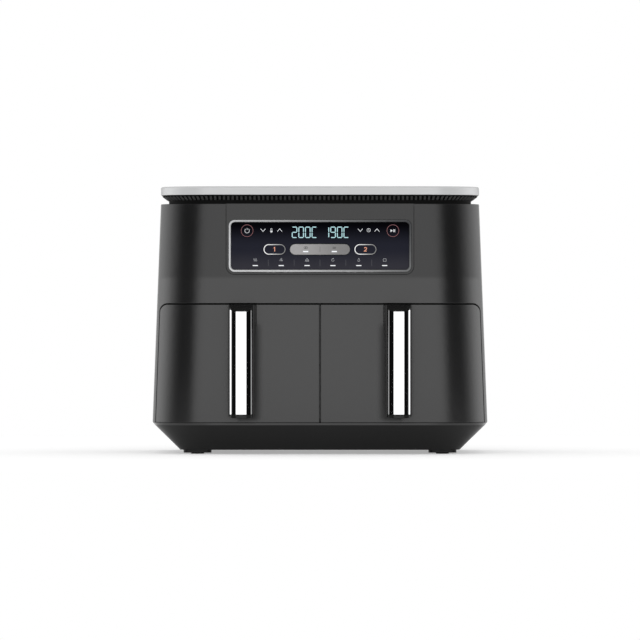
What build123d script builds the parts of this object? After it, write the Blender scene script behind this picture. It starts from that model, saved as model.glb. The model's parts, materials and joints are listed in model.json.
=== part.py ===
from build123d import *
import os
from math import cos, pi, radians, sin, tan

# Twin-drawer air fryer in millimetres. +Z is up, the front faces -Y, and the origin is on the
# floor under the middle of the whole object, handles included. A cut runs a millimetre past the
# face that it opens.

# Driving dimensions of the casing
BODY_WIDTH = 413.0
BODY_TOP_WIDTH = 392.5
BODY_DEPTH = 270.0
FRONT_CORNER = (70.0, 50.0)
BACK_CORNER = 50.0
HANDLE_REACH = 38.0
WALL = 3.0
BODY_TOP_EDGE = 0.8
MOUTH_EDGE = 0.4
RIM_EDGE = 0.5

# Heights above the floor
UNDERSIDE_Z = 4.9
CHAMFER_TOP_Z = 36.1
BASE_TOP_Z = 38.9
SHELF_Z = 185.3
BODY_TOP_Z = 307.4
NECK_TOP_Z = 312.6
CAP_BOTTOM_Z = 318.3
TOTAL_HEIGHT = 328.7

# Depths that follow from them
FRONT_Y = HANDLE_REACH - (BODY_DEPTH + HANDLE_REACH) / 2
BACK_Y = FRONT_Y + BODY_DEPTH
MID_Y = (FRONT_Y + BACK_Y) / 2
GRIP_FRONT_Y = FRONT_Y - HANDLE_REACH

# Base and feet
CHAMFER_RUN = 31.8
CHAMFER_SIDE_IN = 2.4
FOOT_X = 151.0
FOOT_Y = 85.0
FOOT_BOSS = (34.5, 24.0, 6.0)
FOOT_PAD_RADIUS = 8.0
FOOT_PAD_TOP_Z = 3.4
FOOT_PAD_EDGE = 0.5
FOOT_PAD_FIT = 0.1
FOOT_BOSS_Z = 1.4
POST_RADIUS = 6.0
POST_INWARD = 40.0
POST_SHOULDER_Z = 30.0
SCREW_HEAD = (3.5, 2.0)
SCREW_SHANK_RADIUS = 1.5
SCREW_HOLE_RADIUS = 1.7
SCREW_FIT = 0.1
HEAD_CLEARANCE = 0.4

# Neck, cap and air intake
NECK_INSET = 10.0
NECK_WALL = 2.5
FLARE_INSET = 0.8
FLARE_WALL = 5.0
DECK_RIM = 24.0
CAP_EDGE = 2.4
CAP_LOWER_EDGE = 0.8
INTAKE_WINDOW = (24.0, 3.4)
INTAKE_PITCH = 30.0
INTAKE_COUNT = (9, 5)
INTAKE_RISE = 1.4
INTAKE_CUT = 4.0

# Drawer fronts
SEAM_INSET = 4.2
SEAM_TOP = 1.6
SEAM_SIDE = 0.3
SEAM_BOTTOM = 0.2
MIDDLE_GAP = 1.8
OPENING_CORNER = 10.0
FRONT_SKIN = 3.0
FRONT_DEPTH = 34.0
FRONT_EDGE = 0.5
BACKPLATE = 2.5
FIT_GAP = 0.2
PAN_SCREW_X = 46.0
PAN_SCREW_Z = (80.0, 140.0)
PAN_SCREW_HEAD = 1.2
PAN_SCREW_REACH = 6.0
PAN_SCREW_HOLE_RADIUS = 1.6

# Cooking bays, one each side of the middle
BAY_X = (7.0, 193.0)
BAY_Y = (FRONT_Y + FRONT_DEPTH + 2.0, 118.0)
BAY_Z = (43.0, 213.0)
BAY_SHEET = 0.8
BAY_CORNER = 14.0
BAY_MOUTH_Z = 184.0
SHAFT_HOLE_RADIUS = 7.0
MIDDLE_POST_HALF = 5.0
MIDDLE_POST_Y = (BAY_Y[0] - 1.0, BAY_Y[0] + 3.0)
SEAL_RIB = (2.2, 5.0)
BAY_CENTRE = ((BAY_X[0] + BAY_X[1]) / 2, (BAY_Y[0] + BAY_Y[1]) / 2)

# Pans and crisper plates
PAN_WALL = 1.2
PAN_X = (13.0, 187.0)
PAN_Y = (FRONT_Y + FRONT_DEPTH, 111.0)
PAN_Z = (46.0, 168.0)
PAN_CORNER = 20.0
PAN_FLANGE = 3.0
PAN_FLOOR_ROUND = (8.0, 6.5)
PAN_CENTRE = ((PAN_X[0] + PAN_X[1]) / 2, (PAN_Y[0] + PAN_Y[1]) / 2)
RUNNER = (8.0, 1.5)
RUNNER_X = 40.0
RUNNER_Y = (BAY_Y[0] + 6.0, 96.0)
PLATE_GAP = 2.0
PLATE_Z = 62.0
PLATE_THICK = 1.6
PLATE_SLOT = (15.0, 5.0)
PLATE_GRID = (7, 9)
PLATE_PITCH = (20.5, 18.0)
PLATE_CLEAR = (18.0, 15.0)
PLATE_LEG = (14.0, 2.0)
PLATE_LEG_IN = (20.0, 9.0)
BUMPER = (20.0, 6.0, 2.5)
BUMPER_GAP = 0.3
FINGER_HOLE_RADIUS = 11.0

# Fan drive and heaters
SHAFT_RADIUS = 4.0
BUSH_CLEARANCE = 0.05
BUSH_RADIUS = 8.0
BUSH_Z = (-2.0, 6.0)
BUSH_FIT = 0.03
MOTOR_RADIUS = 32.0
MOTOR_Z = (222.0, 262.0)
MOTOR_WALL = 2.0
STATOR_IN = 9.0
ROTOR_RADIUS = 17.0
ROTOR_IN = 10.0
ROTOR_GAP = 0.8
SHAFT_END = 2.0
MOUNT_THICK = 3.0
MOUNT_BORE_RADIUS = 20.0
MOUNT_LEG = (26.0, 4.0)
FAN_RADIUS = 44.0
FAN_Z = (193.0, 208.5)
FAN_BLADES = 10
FAN_SHEET = 1.2
FAN_HUB_RADIUS = 9.0
FAN_BLADE_LENGTH = 30.0
FAN_BLADE_PLACE = (28.0, 6.0)
FAN_BLADE_DEG = 24.0
HUB_FIT = 0.02
COOLER_RADIUS = 37.0
COOLER_Z = (268.0, 282.0)
COOLER_BLADES = 7
COOLER_HUB_RADIUS = 11.0
COOLER_BLADE = (17.0, 1.4)
COOLER_BLADE_DEG = 32.0
COOLER_ROOT = 8.0
HEATER_TUBE = 3.2
HEATER_RINGS = (58.0, 74.0)
HEATER_Z = 198.0
HEATER_BEND = 8.0
HEATER_GAP_DEG = 25.0
HEATER_END_DEG = 340.0
HEATER_TERMINAL = 9.0
HEATER_HOLE_GAP = 1.0
GUARD_Z = 186.0
GUARD_RADIUS = 84.0
GUARD_SHEET = 1.2
GUARD_HOLE_RADIUS = 3.6
GUARD_STUD = (81.0, 2.0)

# Sensors and switches
PROBE = (BAY_CENTRE[0] + 60.0, 192.0)
PROBE_Y = (98.0, BAY_Y[1] + 8.0)
PROBE_RADIUS = 2.0
PROBE_HOLE_RADIUS = 2.3
PROBE_COLLAR = (5.0, 4.0)
CUTOUT = (BAY_CENTRE[0] + 62.0, BAY_CENTRE[1] - 60.0)
CUTOUT_FLANGE = (11.0, 2.0)
CUTOUT_CASE = (8.0, 10.0)
INTERLOCK_X = (40.0, 60.0)
INTERLOCK_Y = (FRONT_Y + 12.0, FRONT_Y + 22.0)
INTERLOCK_HEIGHT = 12.0
INTERLOCK_LEVER_X = (46.0, 50.0)
INTERLOCK_LEVER_RISE = 2.0

# Control panel. Lateral places are X and heights are Z.
FASCIA_HALF_WIDTH = 115.3
FASCIA_BOTTOM_Z = 220.4
FASCIA_CORNER = 10.5
FASCIA_GAP = 0.45
FASCIA_LIP = (6.0, 2.0, 94.0)
PANEL_Z = 255.6
BEZEL = (224.0, 64.0, 7.5)
LENS = (218.4, 58.0, 5.0)
BEZEL_PROUD = 0.9
BEZEL_LEDGE = 0.8
BEZEL_LEDGE_DEPTH = 1.5
BEZEL_EDGE = 0.7
BEZEL_FIT = 0.1
LENS_THICK = 2.5
LENS_FRONT_Y = FRONT_Y + 0.8
LENS_BACK_Y = LENS_FRONT_Y + LENS_THICK
PUSH_KEYS = ("power_key", "start_key", "zone_1_key", "zone_2_key")
KEY_ROW_Z = 251.3
TOP_ROW_Z = 274.2
ROUND_KEY_X = 89.3
ROUND_KEY_RADIUS = 7.9
ZONE_KEY_X = 55.7
ZONE_KEY = (27.5, 13.4)
ROCKER = (73.6, 13.2)
ROCKER_STEM_X = 28.0
ROCKER_STEM_RADIUS = 2.0
ROCKER_TAIL = 0.4
ROCKER_EDGE = 0.45
ROCKER_RIB = (5.0, 10.0)
PIVOT_Y = LENS_BACK_Y + 2.2
PIVOT_RADIUS = 1.2
PIVOT_LUG = (5.0, 2.4)
PIVOT_LUG_GAP = 0.6
PIVOT_LUG_SUNK = 0.5
PIVOT_BACK = 2.0
KEY_GAP = 0.3
ROCKER_GAP = 0.5
KEY_PROUD = 0.5
KEY_TRAVEL = 0.8
KEY_FLANGE = 0.9
KEY_FLANGE_THICK = 1.2
KEY_EDGE = 0.35
KEY_STEM_RADIUS = 2.5
KEY_SLACK = 0.1
BOARD_Y = FRONT_Y + 14.0
BOARD_THICK = 1.6
CONTROL_BOARD = (210.0, 54.0)
PANEL_POST_X = 101.0
PANEL_POST_DROP = (21.0, -5.0)
PANEL_POST_RADIUS = 2.2
SWITCH_TOP_Y = FRONT_Y + 9.0
SWITCH_WIDTH = 6.0
PLUNGER = (1.7, 1.0)
DISPLAY_HALF_WIDTH = 38.0
DISPLAY_Z = (263.0, 281.5)
DISPLAY_GAP = 0.3
INDICATOR = (6.3, 1.1)
INDICATOR_X = (15.85, 47.55, 79.25)
INDICATOR_Z = 231.5
GUIDE_FIT = 0.04
GUIDE_PROUD = 0.1
GUIDE_TAIL = 2.5
POWER_BOARD_Z = 234.0
POWER_BOARD = ((-54.0, 54.0), (58.0, 118.0))
POWER_POST_X = 49.0
POWER_POST_Y = (66.0, 111.0)
POWER_POST_RADIUS = 3.0
TRANSFORMER = ((-40.0, -8.0), (66.0, 96.0))
TRANSFORMER_HEIGHT = 26.0
RELAYS = ((2.0, 18.0), (22.0, 38.0))
RELAY_Y = (84.0, 106.0)
RELAY_HEIGHT = 16.0
CAPACITOR_X = (2.0, 16.0, 44.0)
CAPACITOR_Y = 70.0
CAPACITOR = (5.5, 20.0)
RIBBON = (20.0, 1.0)
RIBBON_Z = 246.0
RIBBON_RUNS = (22.0, 60.0)
RIBBON_BEND = 12.0

# Rear cover
REAR_WINDOW = (276.0, 215.0, 12.0)
REAR_Z = 177.5
REAR_LEDGE = 15.0
REAR_LEDGE_LAP = 4.0
REAR_MIN_CORNER = 4.0
REAR_SCREW_IN = 9.0
REAR_SCREW_LENGTH = 11.0
REAR_SCREW_SUNK = 0.2
REAR_BOSS = (4.0, 7.0)
GLAND_X = 92.0
GLAND_Z = 114.0
GLAND_BORE_RADIUS = 3.8
GLAND_HOLE_RADIUS = 7.0
GLAND_NECK_RADIUS = 6.9
GLAND_FLANGE = (10.0, 3.0)
GLAND_NOSE = (7.5, 6.0)
GLAND_NOSE_DEG = 8.0
GLAND_NUT = (9.0, 6.0)
GLAND_DISH = (18.0, 10.0)

# Handles
HANDLE_X = 96.2
GRIP_HALF_WIDTH = 15.7
GRIP_EDGE = 0.9
NECK_SPREAD = 3.2
STRIP_HALF_WIDTH = 14.3
STRIP_THICK = 1.8
STRIP_DEPTH = 9.0
STRIP_CROWN = 0.15
STRIP_FLAT_HALF = 6.35
STRIP_FACET_DEG = 21.0
STRIP_ROUND = 5.4
STRIP_BEVEL = 0.7
BAR_THICK = 13.0
STRIP_BOTTOM_Z = 49.0
STRIP_TOP_Z = 174.9
STRIP_TOP_SLOPE = 0.62
GRIP_BOTTOM_Z = 44.7
NECK_UNDER_Z = 157.0
GRIP_SCREW_Z = (162.0, 175.0)
GRIP_SCREW_REACH = 12.0
GRIP_BORE_RADIUS = 1.55

PARTS = {}


def block(x, y, z):
    """A box given by its low and high limits on each axis."""
    size = [high - low for low, high in (x, y, z)]
    middle = [(high + low) / 2 for low, high in (x, y, z)]
    return Pos(*middle) * Box(*size)


def post(x, y, z, radius):
    """An upright cylinder between two heights."""
    return Pos(x, y, (z[0] + z[1]) / 2) * Cylinder(radius, z[1] - z[0])


def peg(x, z, y, radius):
    """A cylinder that lies along Y between two depths."""
    return Pos(x, (y[0] + y[1]) / 2, z) * Rot(90, 0, 0) * Cylinder(radius, y[1] - y[0])


def panel(outline, y):
    """An outline drawn in X and Z, given thickness from one depth to the other."""
    return extrude(Plane.XZ.offset(-y[1]) * outline, amount=y[1] - y[0])


def half_width(z):
    """Half the casing's width at a height: the sides lean in towards the top."""
    lean = (BODY_WIDTH - BODY_TOP_WIDTH) / 2 / (BODY_TOP_Z - BASE_TOP_Z)
    return BODY_WIDTH / 2 - lean * (z - BASE_TOP_Z)


def plan(z, inset=0.0, half=None):
    """The casing seen from above, drawn in by an inset: long soft corners in front, round ones behind."""
    half = (half_width(z) if half is None else half) - inset
    front, back = FRONT_Y + inset, BACK_Y - inset
    wide, deep = FRONT_CORNER[0] - inset, FRONT_CORNER[1] - inset
    round_y = BACK_CORNER - inset
    edges = [
        Line((wide - half, front), (half - wide, front)),
        EllipticalCenterArc((half - wide, front + deep), wide, deep, 270),
        Line((half, front + deep), (half, back - round_y)),
        CenterArc((half - round_y, back - round_y), round_y, 0, 90),
        Line((half - round_y, back), (round_y - half, back)),
        CenterArc((round_y - half, back - round_y), round_y, 90, 90),
        Line((-half, back - round_y), (-half, front + deep)),
        EllipticalCenterArc((wide - half, front + deep), wide, deep, 180),
    ]
    return Pos(0, 0, z) * make_face(edges)


def casing_block(low, high, inset=0.0):
    """A solid slice of the casing between two heights."""
    return loft([plan(low, inset), plan(high, inset)], ruled=True)


def mirrored(shape):
    """The same piece on the other side of the middle."""
    return mirror(shape, about=Plane.YZ)


def both_sides(name, shape):
    """Stores a piece of the right-hand half and its mirror image."""
    PARTS["right_" + name] = shape
    PARTS["left_" + name] = mirrored(shape)


def together(shapes):
    """Several separate solids as one piece group."""
    solids = [solid for shape in shapes for solid in shape.solids()]
    return Compound(children=solids)


def spread(count, pitch):
    """Evenly spaced places about zero."""
    return [(i - (count - 1) / 2) * pitch for i in range(count)]


def drawer_outline(top, side, bottom, inner):
    """Front view of the right-hand drawer opening, shrunk by the given margins."""
    low, high = BASE_TOP_Z + bottom, SHELF_Z - top
    outer_low = half_width(low) - SEAM_INSET - side
    outer_high = half_width(high) - SEAM_INSET - side
    corners = [(inner, low), (outer_low, low), (outer_high, high), (inner, high)]
    face = make_face(Polyline(*corners, close=True))
    round_corner = face.vertices().sort_by_distance((outer_high, high))[0]
    return fillet(round_corner, OPENING_CORNER - side)


# Casing

def main_housing():
    """The wrap-round shell: sides, back frame, upper front, shelf over the drawers and top deck."""
    shell = casing_block(BASE_TOP_Z, BODY_TOP_Z)
    shell = fillet(shell.edges().group_by(Axis.Z)[-1], BODY_TOP_EDGE)
    opening = drawer_outline(0, 0, -1, -1)
    mouth = panel(opening, (FRONT_Y - 1, FRONT_Y + FRONT_CORNER[1] + 10))
    shell -= mouth + mirrored(mouth)
    rim = [e for e in shell.edges() if e.geom_type == GeomType.BSPLINE]
    rim = [e for e in rim if e.center().Y < FRONT_Y + FRONT_CORNER[1] and e.center().Z < SHELF_Z + 1]
    shell = fillet(rim, MOUTH_EDGE)
    shell -= casing_block(BASE_TOP_Z - 1, BODY_TOP_Z - WALL, WALL)
    shelf = casing_block(SHELF_Z, SHELF_Z + WALL, WALL / 2)
    shell += shelf & block((-BODY_WIDTH, BODY_WIDTH), (FRONT_Y, BAY_Y[0]), (SHELF_Z, SHELF_Z + WALL))
    shell -= extrude(plan(BODY_TOP_Z - WALL - 1, DECK_RIM, half_width(BODY_TOP_Z)), amount=WALL + 2)
    shell -= panel(fascia_outline(0), (FRONT_Y - 1, FRONT_Y + WALL))
    shell -= panel(rear_outline(0), (BACK_Y - WALL - 1, BACK_Y + 1))
    ledge = rear_outline(REAR_LEDGE_LAP) - rear_outline(-REAR_LEDGE)
    shell += panel(ledge, (BACK_Y - 2 * WALL, BACK_Y - WALL))
    boss_radius, boss_length = REAR_BOSS
    boss_y = BACK_Y - 2 * WALL - boss_length
    for x, z in rear_screw_places():
        shell += peg(x, z, (boss_y, BACK_Y - WALL), boss_radius)
        shell -= peg(x, z, (boss_y - 1, BACK_Y), SCREW_SHANK_RADIUS + SCREW_FIT)
    middle_post = block((-MIDDLE_POST_HALF, MIDDLE_POST_HALF), MIDDLE_POST_Y, (BASE_TOP_Z, SHELF_Z + 1))
    seal_front, seal_back = BAY_Y[0] - SEAL_RIB[0], BAY_Y[0] - FIT_GAP
    seal = Polyline(
        (seal_front, SHELF_Z + 1),
        (seal_front, SHELF_Z),
        (seal_back, SHELF_Z - SEAL_RIB[1]),
        (seal_back, SHELF_Z + 1),
        close=True,
    )
    seal_rib = extrude(Plane.YZ * make_face(seal), amount=BAY_X[1], both=True)
    return shell + middle_post + seal_rib


def rear_outline(grow):
    """The window in the back wall, grown or shrunk."""
    width, height, corner = REAR_WINDOW
    corner = max(corner + grow, REAR_MIN_CORNER)
    return Pos(0, REAR_Z) * RectangleRounded(width + 2 * grow, height + 2 * grow, corner)


def base_outer(inset=0.0):
    """The chamfered tub's outside, or its inside when drawn in by the wall."""
    half = BODY_WIDTH / 2 - CHAMFER_SIDE_IN
    low = UNDERSIDE_Z + inset
    kink = plan(CHAMFER_TOP_Z, inset, half)
    slope = loft([plan(low, CHAMFER_RUN + inset, half), kink], ruled=True)
    return slope + loft([kink, plan(BASE_TOP_Z, inset)], ruled=True)


def foot_places():
    """Middle of each of the four feet."""
    return [(sx * FOOT_X, MID_Y + sy * FOOT_Y) for sx in (-1, 1) for sy in (-1, 1)]


def bay_post_places():
    """Places of the posts that carry the two cooking bays."""
    xs = (BAY_X[0] + POST_INWARD, BAY_X[1] - POST_INWARD)
    ys = (BAY_Y[0] + POST_INWARD, BAY_Y[1] - POST_INWARD)
    return [(side * x, y) for side in (-1, 1) for x in xs for y in ys]


def base_pan():
    """The tub that the bays stand in, with foot bosses below and hollow screw posts inside."""
    tub = base_outer()
    tub = fillet(tub.edges().group_by(Axis.Z)[-1], RIM_EDGE)
    tub -= base_outer(WALL)
    for x, y in foot_places():
        boss = Pos(x, y, FOOT_BOSS_Z) * RectangleRounded(*FOOT_BOSS)
        tub += extrude(boss, amount=UNDERSIDE_Z - FOOT_BOSS_Z + WALL / 2)
        tub -= post(x, y, (FOOT_BOSS_Z - 1, FOOT_PAD_TOP_Z), FOOT_PAD_RADIUS + FOOT_PAD_FIT)
    for x, y in bay_post_places():
        tub += post(x, y, (UNDERSIDE_Z, BAY_Z[0]), POST_RADIUS)
        tub -= post(x, y, (UNDERSIDE_Z - 1, POST_SHOULDER_Z), SCREW_HEAD[0] + HEAD_CLEARANCE)
        tub -= post(x, y, (POST_SHOULDER_Z - 1, BAY_Z[0] + 1), SCREW_HOLE_RADIUS)
    return tub


def foot_pads():
    """Four rubber discs let into the foot bosses."""
    pads = []
    for x, y in foot_places():
        pad = post(x, y, (0, FOOT_PAD_TOP_Z), FOOT_PAD_RADIUS)
        pads.append(chamfer(pad.edges().group_by(Axis.Z)[0], FOOT_PAD_EDGE))
    return together(pads)


def rear_screw_places():
    """Screws along the rear cover's edge, as X and Z."""
    half_x, half_z = REAR_WINDOW[0] / 2 - REAR_SCREW_IN, REAR_WINDOW[1] / 2 - REAR_SCREW_IN
    return [(x, REAR_Z + sz * half_z) for x in (-half_x, 0, half_x) for sz in (-1, 1)]


def case_screws():
    """Screws up through the base posts and through the rear cover into its ledge."""
    screws = []
    for x, y in bay_post_places():
        head = post(x, y, (POST_SHOULDER_Z - SCREW_HEAD[1], POST_SHOULDER_Z), SCREW_HEAD[0])
        screws.append(head + post(x, y, (POST_SHOULDER_Z, BAY_Z[0] + BAY_SHEET), SCREW_SHANK_RADIUS))
    for x, z in rear_screw_places():
        seat_y = BACK_Y - SCREW_HEAD[1]
        head = peg(x, z, (seat_y, BACK_Y - REAR_SCREW_SUNK), SCREW_HEAD[0])
        screws.append(head + peg(x, z, (BACK_Y - REAR_SCREW_LENGTH, seat_y), SCREW_SHANK_RADIUS))
    return together(screws)


def rear_cover():
    """Back panel with two banks of exhaust slots and a dish for the mains gland."""
    slot_size, slot_pitch, slot_count = (4.0, 52.0), 7.5, 11
    bank_x, bank_z = 74.0, 232.0
    cover = panel(rear_outline(-FASCIA_GAP), (BACK_Y - WALL, BACK_Y))
    slots = Sketch() + [
        Pos(side * bank_x + offset, bank_z) * SlotOverall(slot_size[1], slot_size[0], rotation=90)
        for side in (-1, 1)
        for offset in spread(slot_count, slot_pitch)
    ]
    cover -= panel(slots, (BACK_Y - WALL - 3, BACK_Y + 1))
    radius, depth = GLAND_DISH
    cover += peg(GLAND_X, GLAND_Z, (BACK_Y - depth - WALL, BACK_Y - WALL), radius + WALL)
    cover -= peg(GLAND_X, GLAND_Z, (BACK_Y - depth, BACK_Y + 1), radius)
    cover -= peg(GLAND_X, GLAND_Z, (BACK_Y - depth - WALL - 1, BACK_Y), GLAND_HOLE_RADIUS)
    for x, z in rear_screw_places():
        cover -= peg(x, z, (BACK_Y - WALL - 1, BACK_Y), SCREW_HOLE_RADIUS)
        cover -= peg(x, z, (BACK_Y - SCREW_HEAD[1], BACK_Y + 1), SCREW_HEAD[0] + HEAD_CLEARANCE)
    return cover


def cord_gland():
    """Flanged grommet in the rear cover, bored for a mains lead."""
    seat_y = BACK_Y - GLAND_DISH[1]
    nose_y, nut_y = seat_y + GLAND_FLANGE[1], seat_y - WALL - GLAND_NUT[1]
    gland = peg(GLAND_X, GLAND_Z, (seat_y - WALL - GLAND_NUT[1] / 2, seat_y), GLAND_NECK_RADIUS)
    gland += peg(GLAND_X, GLAND_Z, (seat_y, nose_y), GLAND_FLANGE[0])
    nose = Plane.XZ.offset(-nose_y) * Pos(GLAND_X, GLAND_Z) * Circle(GLAND_NOSE[0])
    gland += extrude(nose, amount=-GLAND_NOSE[1], taper=GLAND_NOSE_DEG)
    gland += peg(GLAND_X, GLAND_Z, (nut_y, seat_y - WALL), GLAND_NUT[0])
    return gland - peg(GLAND_X, GLAND_Z, (nut_y - 1, BACK_Y + 1), GLAND_BORE_RADIUS)


def vent_ring():
    """Recessed neck under the cap, flaring out to its edge, with intake windows at the sides and back."""
    half = half_width(BODY_TOP_Z)
    wall = extrude(plan(BODY_TOP_Z, NECK_INSET, half), amount=NECK_TOP_Z - BODY_TOP_Z)
    wall -= extrude(plan(BODY_TOP_Z, NECK_INSET + NECK_WALL, half), amount=NECK_TOP_Z - BODY_TOP_Z)
    flare = loft([plan(NECK_TOP_Z, NECK_INSET, half), plan(CAP_BOTTOM_Z, FLARE_INSET, half)], ruled=True)
    flare_inner = plan(CAP_BOTTOM_Z, FLARE_INSET + FLARE_WALL, half)
    inside = [plan(NECK_TOP_Z, NECK_INSET + NECK_WALL, half), flare_inner]
    ring = wall + (flare - loft(inside, ruled=True))
    low = BODY_TOP_Z + INTAKE_RISE
    window_z = (low, low + INTAKE_WINDOW[1])
    reach = INTAKE_WINDOW[0] / 2
    back_y, side_x = BACK_Y - NECK_INSET, half - NECK_INSET
    for x in spread(INTAKE_COUNT[0], INTAKE_PITCH):
        ring -= block((x - reach, x + reach), (back_y - INTAKE_CUT, back_y + INTAKE_CUT), window_z)
    for x in (-side_x, side_x):
        for y in spread(INTAKE_COUNT[1], INTAKE_PITCH):
            span_y = (MID_Y + y - reach, MID_Y + y + reach)
            ring -= block((x - INTAKE_CUT, x + INTAKE_CUT), span_y, window_z)
    return ring


def top_cap():
    """The pale lid over the air intake, a shallow tray turned upside down."""
    half = half_width(BODY_TOP_Z)
    height = TOTAL_HEIGHT - CAP_BOTTOM_Z
    cap = extrude(plan(CAP_BOTTOM_Z, 0, half), amount=height)
    cap = fillet(cap.edges().group_by(Axis.Z)[-1], CAP_EDGE)
    cap = fillet(cap.edges().group_by(Axis.Z)[0], CAP_LOWER_EDGE)
    return cap - extrude(plan(CAP_BOTTOM_Z, WALL, half), amount=height - WALL)


# Control panel

def fascia_outline(gap):
    """The tab-shaped insert that carries the panel, drawn from the deck down."""
    half, low, high = FASCIA_HALF_WIDTH - gap, FASCIA_BOTTOM_Z + gap, BODY_TOP_Z
    face = make_face(Polyline((-half, low), (half, low), (half, high), (-half, high), close=True))
    return fillet(face.vertices().sort_by(Axis.Y)[:2], FASCIA_CORNER - gap)


def panel_outline(size, grow=0.0):
    """A rounded rectangle on the panel's middle."""
    width, height, corner = size
    return Pos(0, PANEL_Z) * RectangleRounded(width + 2 * grow, height + 2 * grow, corner + grow)


def control_fascia():
    """Insert flush with the upper front, with a hidden lip behind the housing."""
    insert = panel(fascia_outline(FASCIA_GAP), (FRONT_Y, FRONT_Y + WALL))
    deck_z = BODY_TOP_Z - WALL - FIT_GAP
    reach, thick, height = FASCIA_LIP
    lip = fascia_outline(-reach) & Pos(0, deck_z - height / 2) * Rectangle(BODY_WIDTH, height)
    insert += panel(lip, (FRONT_Y + WALL, FRONT_Y + WALL + thick))
    return insert - panel(panel_outline(BEZEL, BEZEL_FIT), (FRONT_Y - 1, FRONT_Y + WALL + thick + 1))


def panel_bezel():
    """Bright frame round the lens, with a ledge that the lens is bonded to."""
    frame = panel(panel_outline(BEZEL), (FRONT_Y - BEZEL_PROUD, LENS_BACK_Y + BEZEL_LEDGE_DEPTH))
    frame = fillet(frame.edges().group_by(Axis.Y)[0], BEZEL_EDGE)
    frame -= panel(panel_outline(LENS, BEZEL_FIT), (FRONT_Y - 2, LENS_BACK_Y))
    front_inner = [e for e in frame.edges() if abs(e.center().Y - (FRONT_Y - BEZEL_PROUD)) < 0.01]
    inner_loop = [e for e in front_inner if abs(e.center().Z - PANEL_Z) <= LENS[1] / 2 + 2 * BEZEL_FIT]
    inner_loop = [e for e in inner_loop if abs(e.center().X) <= LENS[0] / 2 + 2 * BEZEL_FIT]
    frame = chamfer(inner_loop, BEZEL_EDGE)
    return frame - panel(panel_outline(LENS, -BEZEL_LEDGE), (FRONT_Y, LENS_BACK_Y + 2))


def key_outline(name, grow=0.0):
    """Front view of one key, or of its hole when grown."""
    if name in ("power_key", "start_key"):
        x = -ROUND_KEY_X if name == "power_key" else ROUND_KEY_X
        return Pos(x, TOP_ROW_Z) * Circle(ROUND_KEY_RADIUS + grow)
    if name in ("zone_1_key", "zone_2_key"):
        x = -ZONE_KEY_X if name == "zone_1_key" else ZONE_KEY_X
        return Pos(x, KEY_ROW_Z) * SlotOverall(ZONE_KEY[0] + 2 * grow, ZONE_KEY[1] + 2 * grow)
    return Pos(0, KEY_ROW_Z) * SlotOverall(ROCKER[0] + 2 * grow, ROCKER[1] + 2 * grow)


def push_key(name):
    """A key cap through the lens, a flange that stops behind it and a stem for its switch."""
    x, z = key_outline(name).center().X, key_outline(name).center().Y
    cap = panel(key_outline(name), (LENS_FRONT_Y - KEY_PROUD, LENS_BACK_Y))
    cap = fillet(cap.edges().group_by(Axis.Y)[0], KEY_EDGE)
    flange = panel(key_outline(name, KEY_FLANGE), (LENS_BACK_Y, LENS_BACK_Y + KEY_FLANGE_THICK))
    stem = peg(x, z, (LENS_BACK_Y, SWITCH_TOP_Y - KEY_TRAVEL - KEY_SLACK), KEY_STEM_RADIUS)
    return cap + flange + stem


def rocker_key():
    """The pill-shaped rocker: it tilts to either end on a pin across its middle."""
    pill = panel(key_outline("link_rocker"), (LENS_FRONT_Y - 2 * KEY_PROUD, LENS_BACK_Y + ROCKER_TAIL))
    pill = fillet(pill.edges().group_by(Axis.Y)[0], ROCKER_EDGE)
    half_x, half_z = ROCKER_RIB[0] / 2, ROCKER_RIB[1] / 2
    rib_y = (LENS_BACK_Y, PIVOT_Y + PIVOT_BACK)
    rib = block((-half_x, half_x), rib_y, (KEY_ROW_Z - half_z, KEY_ROW_Z + half_z))
    reach = ROCKER[1] / 2 + PIVOT_LUG[1] + PIVOT_LUG_GAP
    pin = post(0, PIVOT_Y, (KEY_ROW_Z - reach, KEY_ROW_Z + reach), PIVOT_RADIUS)
    stems = [
        peg(side * ROCKER_STEM_X, KEY_ROW_Z, (LENS_BACK_Y, SWITCH_TOP_Y - KEY_TRAVEL), ROCKER_STEM_RADIUS)
        for side in (-1, 1)
    ]
    return pill + rib + pin + stems[0] + stems[1]


def panel_lens():
    """Gloss black window with holes for the keys and light guides, and lugs for the rocker's pin."""
    face = panel_outline(LENS)
    for name in PUSH_KEYS:
        face -= key_outline(name, KEY_GAP)
    face -= key_outline("link_rocker", ROCKER_GAP)
    for x, z in indicator_places():
        face -= Pos(x, z) * Rectangle(INDICATOR[0] + GUIDE_FIT, INDICATOR[1] + GUIDE_FIT)
    lens = panel(face, (LENS_FRONT_Y, LENS_BACK_Y))
    for side in (-1, 1):
        low = KEY_ROW_Z + side * (ROCKER[1] / 2 + PIVOT_LUG_GAP)
        high = low + side * PIVOT_LUG[1]
        span = (min(low, high), max(low, high))
        lug_y = (LENS_BACK_Y - PIVOT_LUG_SUNK, PIVOT_Y + PIVOT_BACK)
        lens += block((-PIVOT_LUG[0] / 2, PIVOT_LUG[0] / 2), lug_y, span)
        lens -= post(0, PIVOT_Y, (span[0] - 1, span[1] + 1), PIVOT_RADIUS + BUSH_CLEARANCE)
    return lens


def indicator_places():
    """Middle of each lit bar under the function marks."""
    return [(side * x, INDICATOR_Z) for side in (-1, 1) for x in INDICATOR_X]


def light_guides():
    """Six clear bars through the lens, each over a lamp on the board."""
    guides = []
    for x, z in indicator_places():
        bar = Pos(x, z) * Rectangle(*INDICATOR)
        guides.append(panel(bar, (LENS_FRONT_Y - GUIDE_PROUD, LENS_BACK_Y + GUIDE_TAIL)))
    return together(guides)


def control_board():
    """Circuit board behind the lens."""
    half_x, half_z = CONTROL_BOARD[0] / 2, CONTROL_BOARD[1] / 2
    return block((-half_x, half_x), (BOARD_Y, BOARD_Y + BOARD_THICK), (PANEL_Z - half_z, PANEL_Z + half_z))


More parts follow.
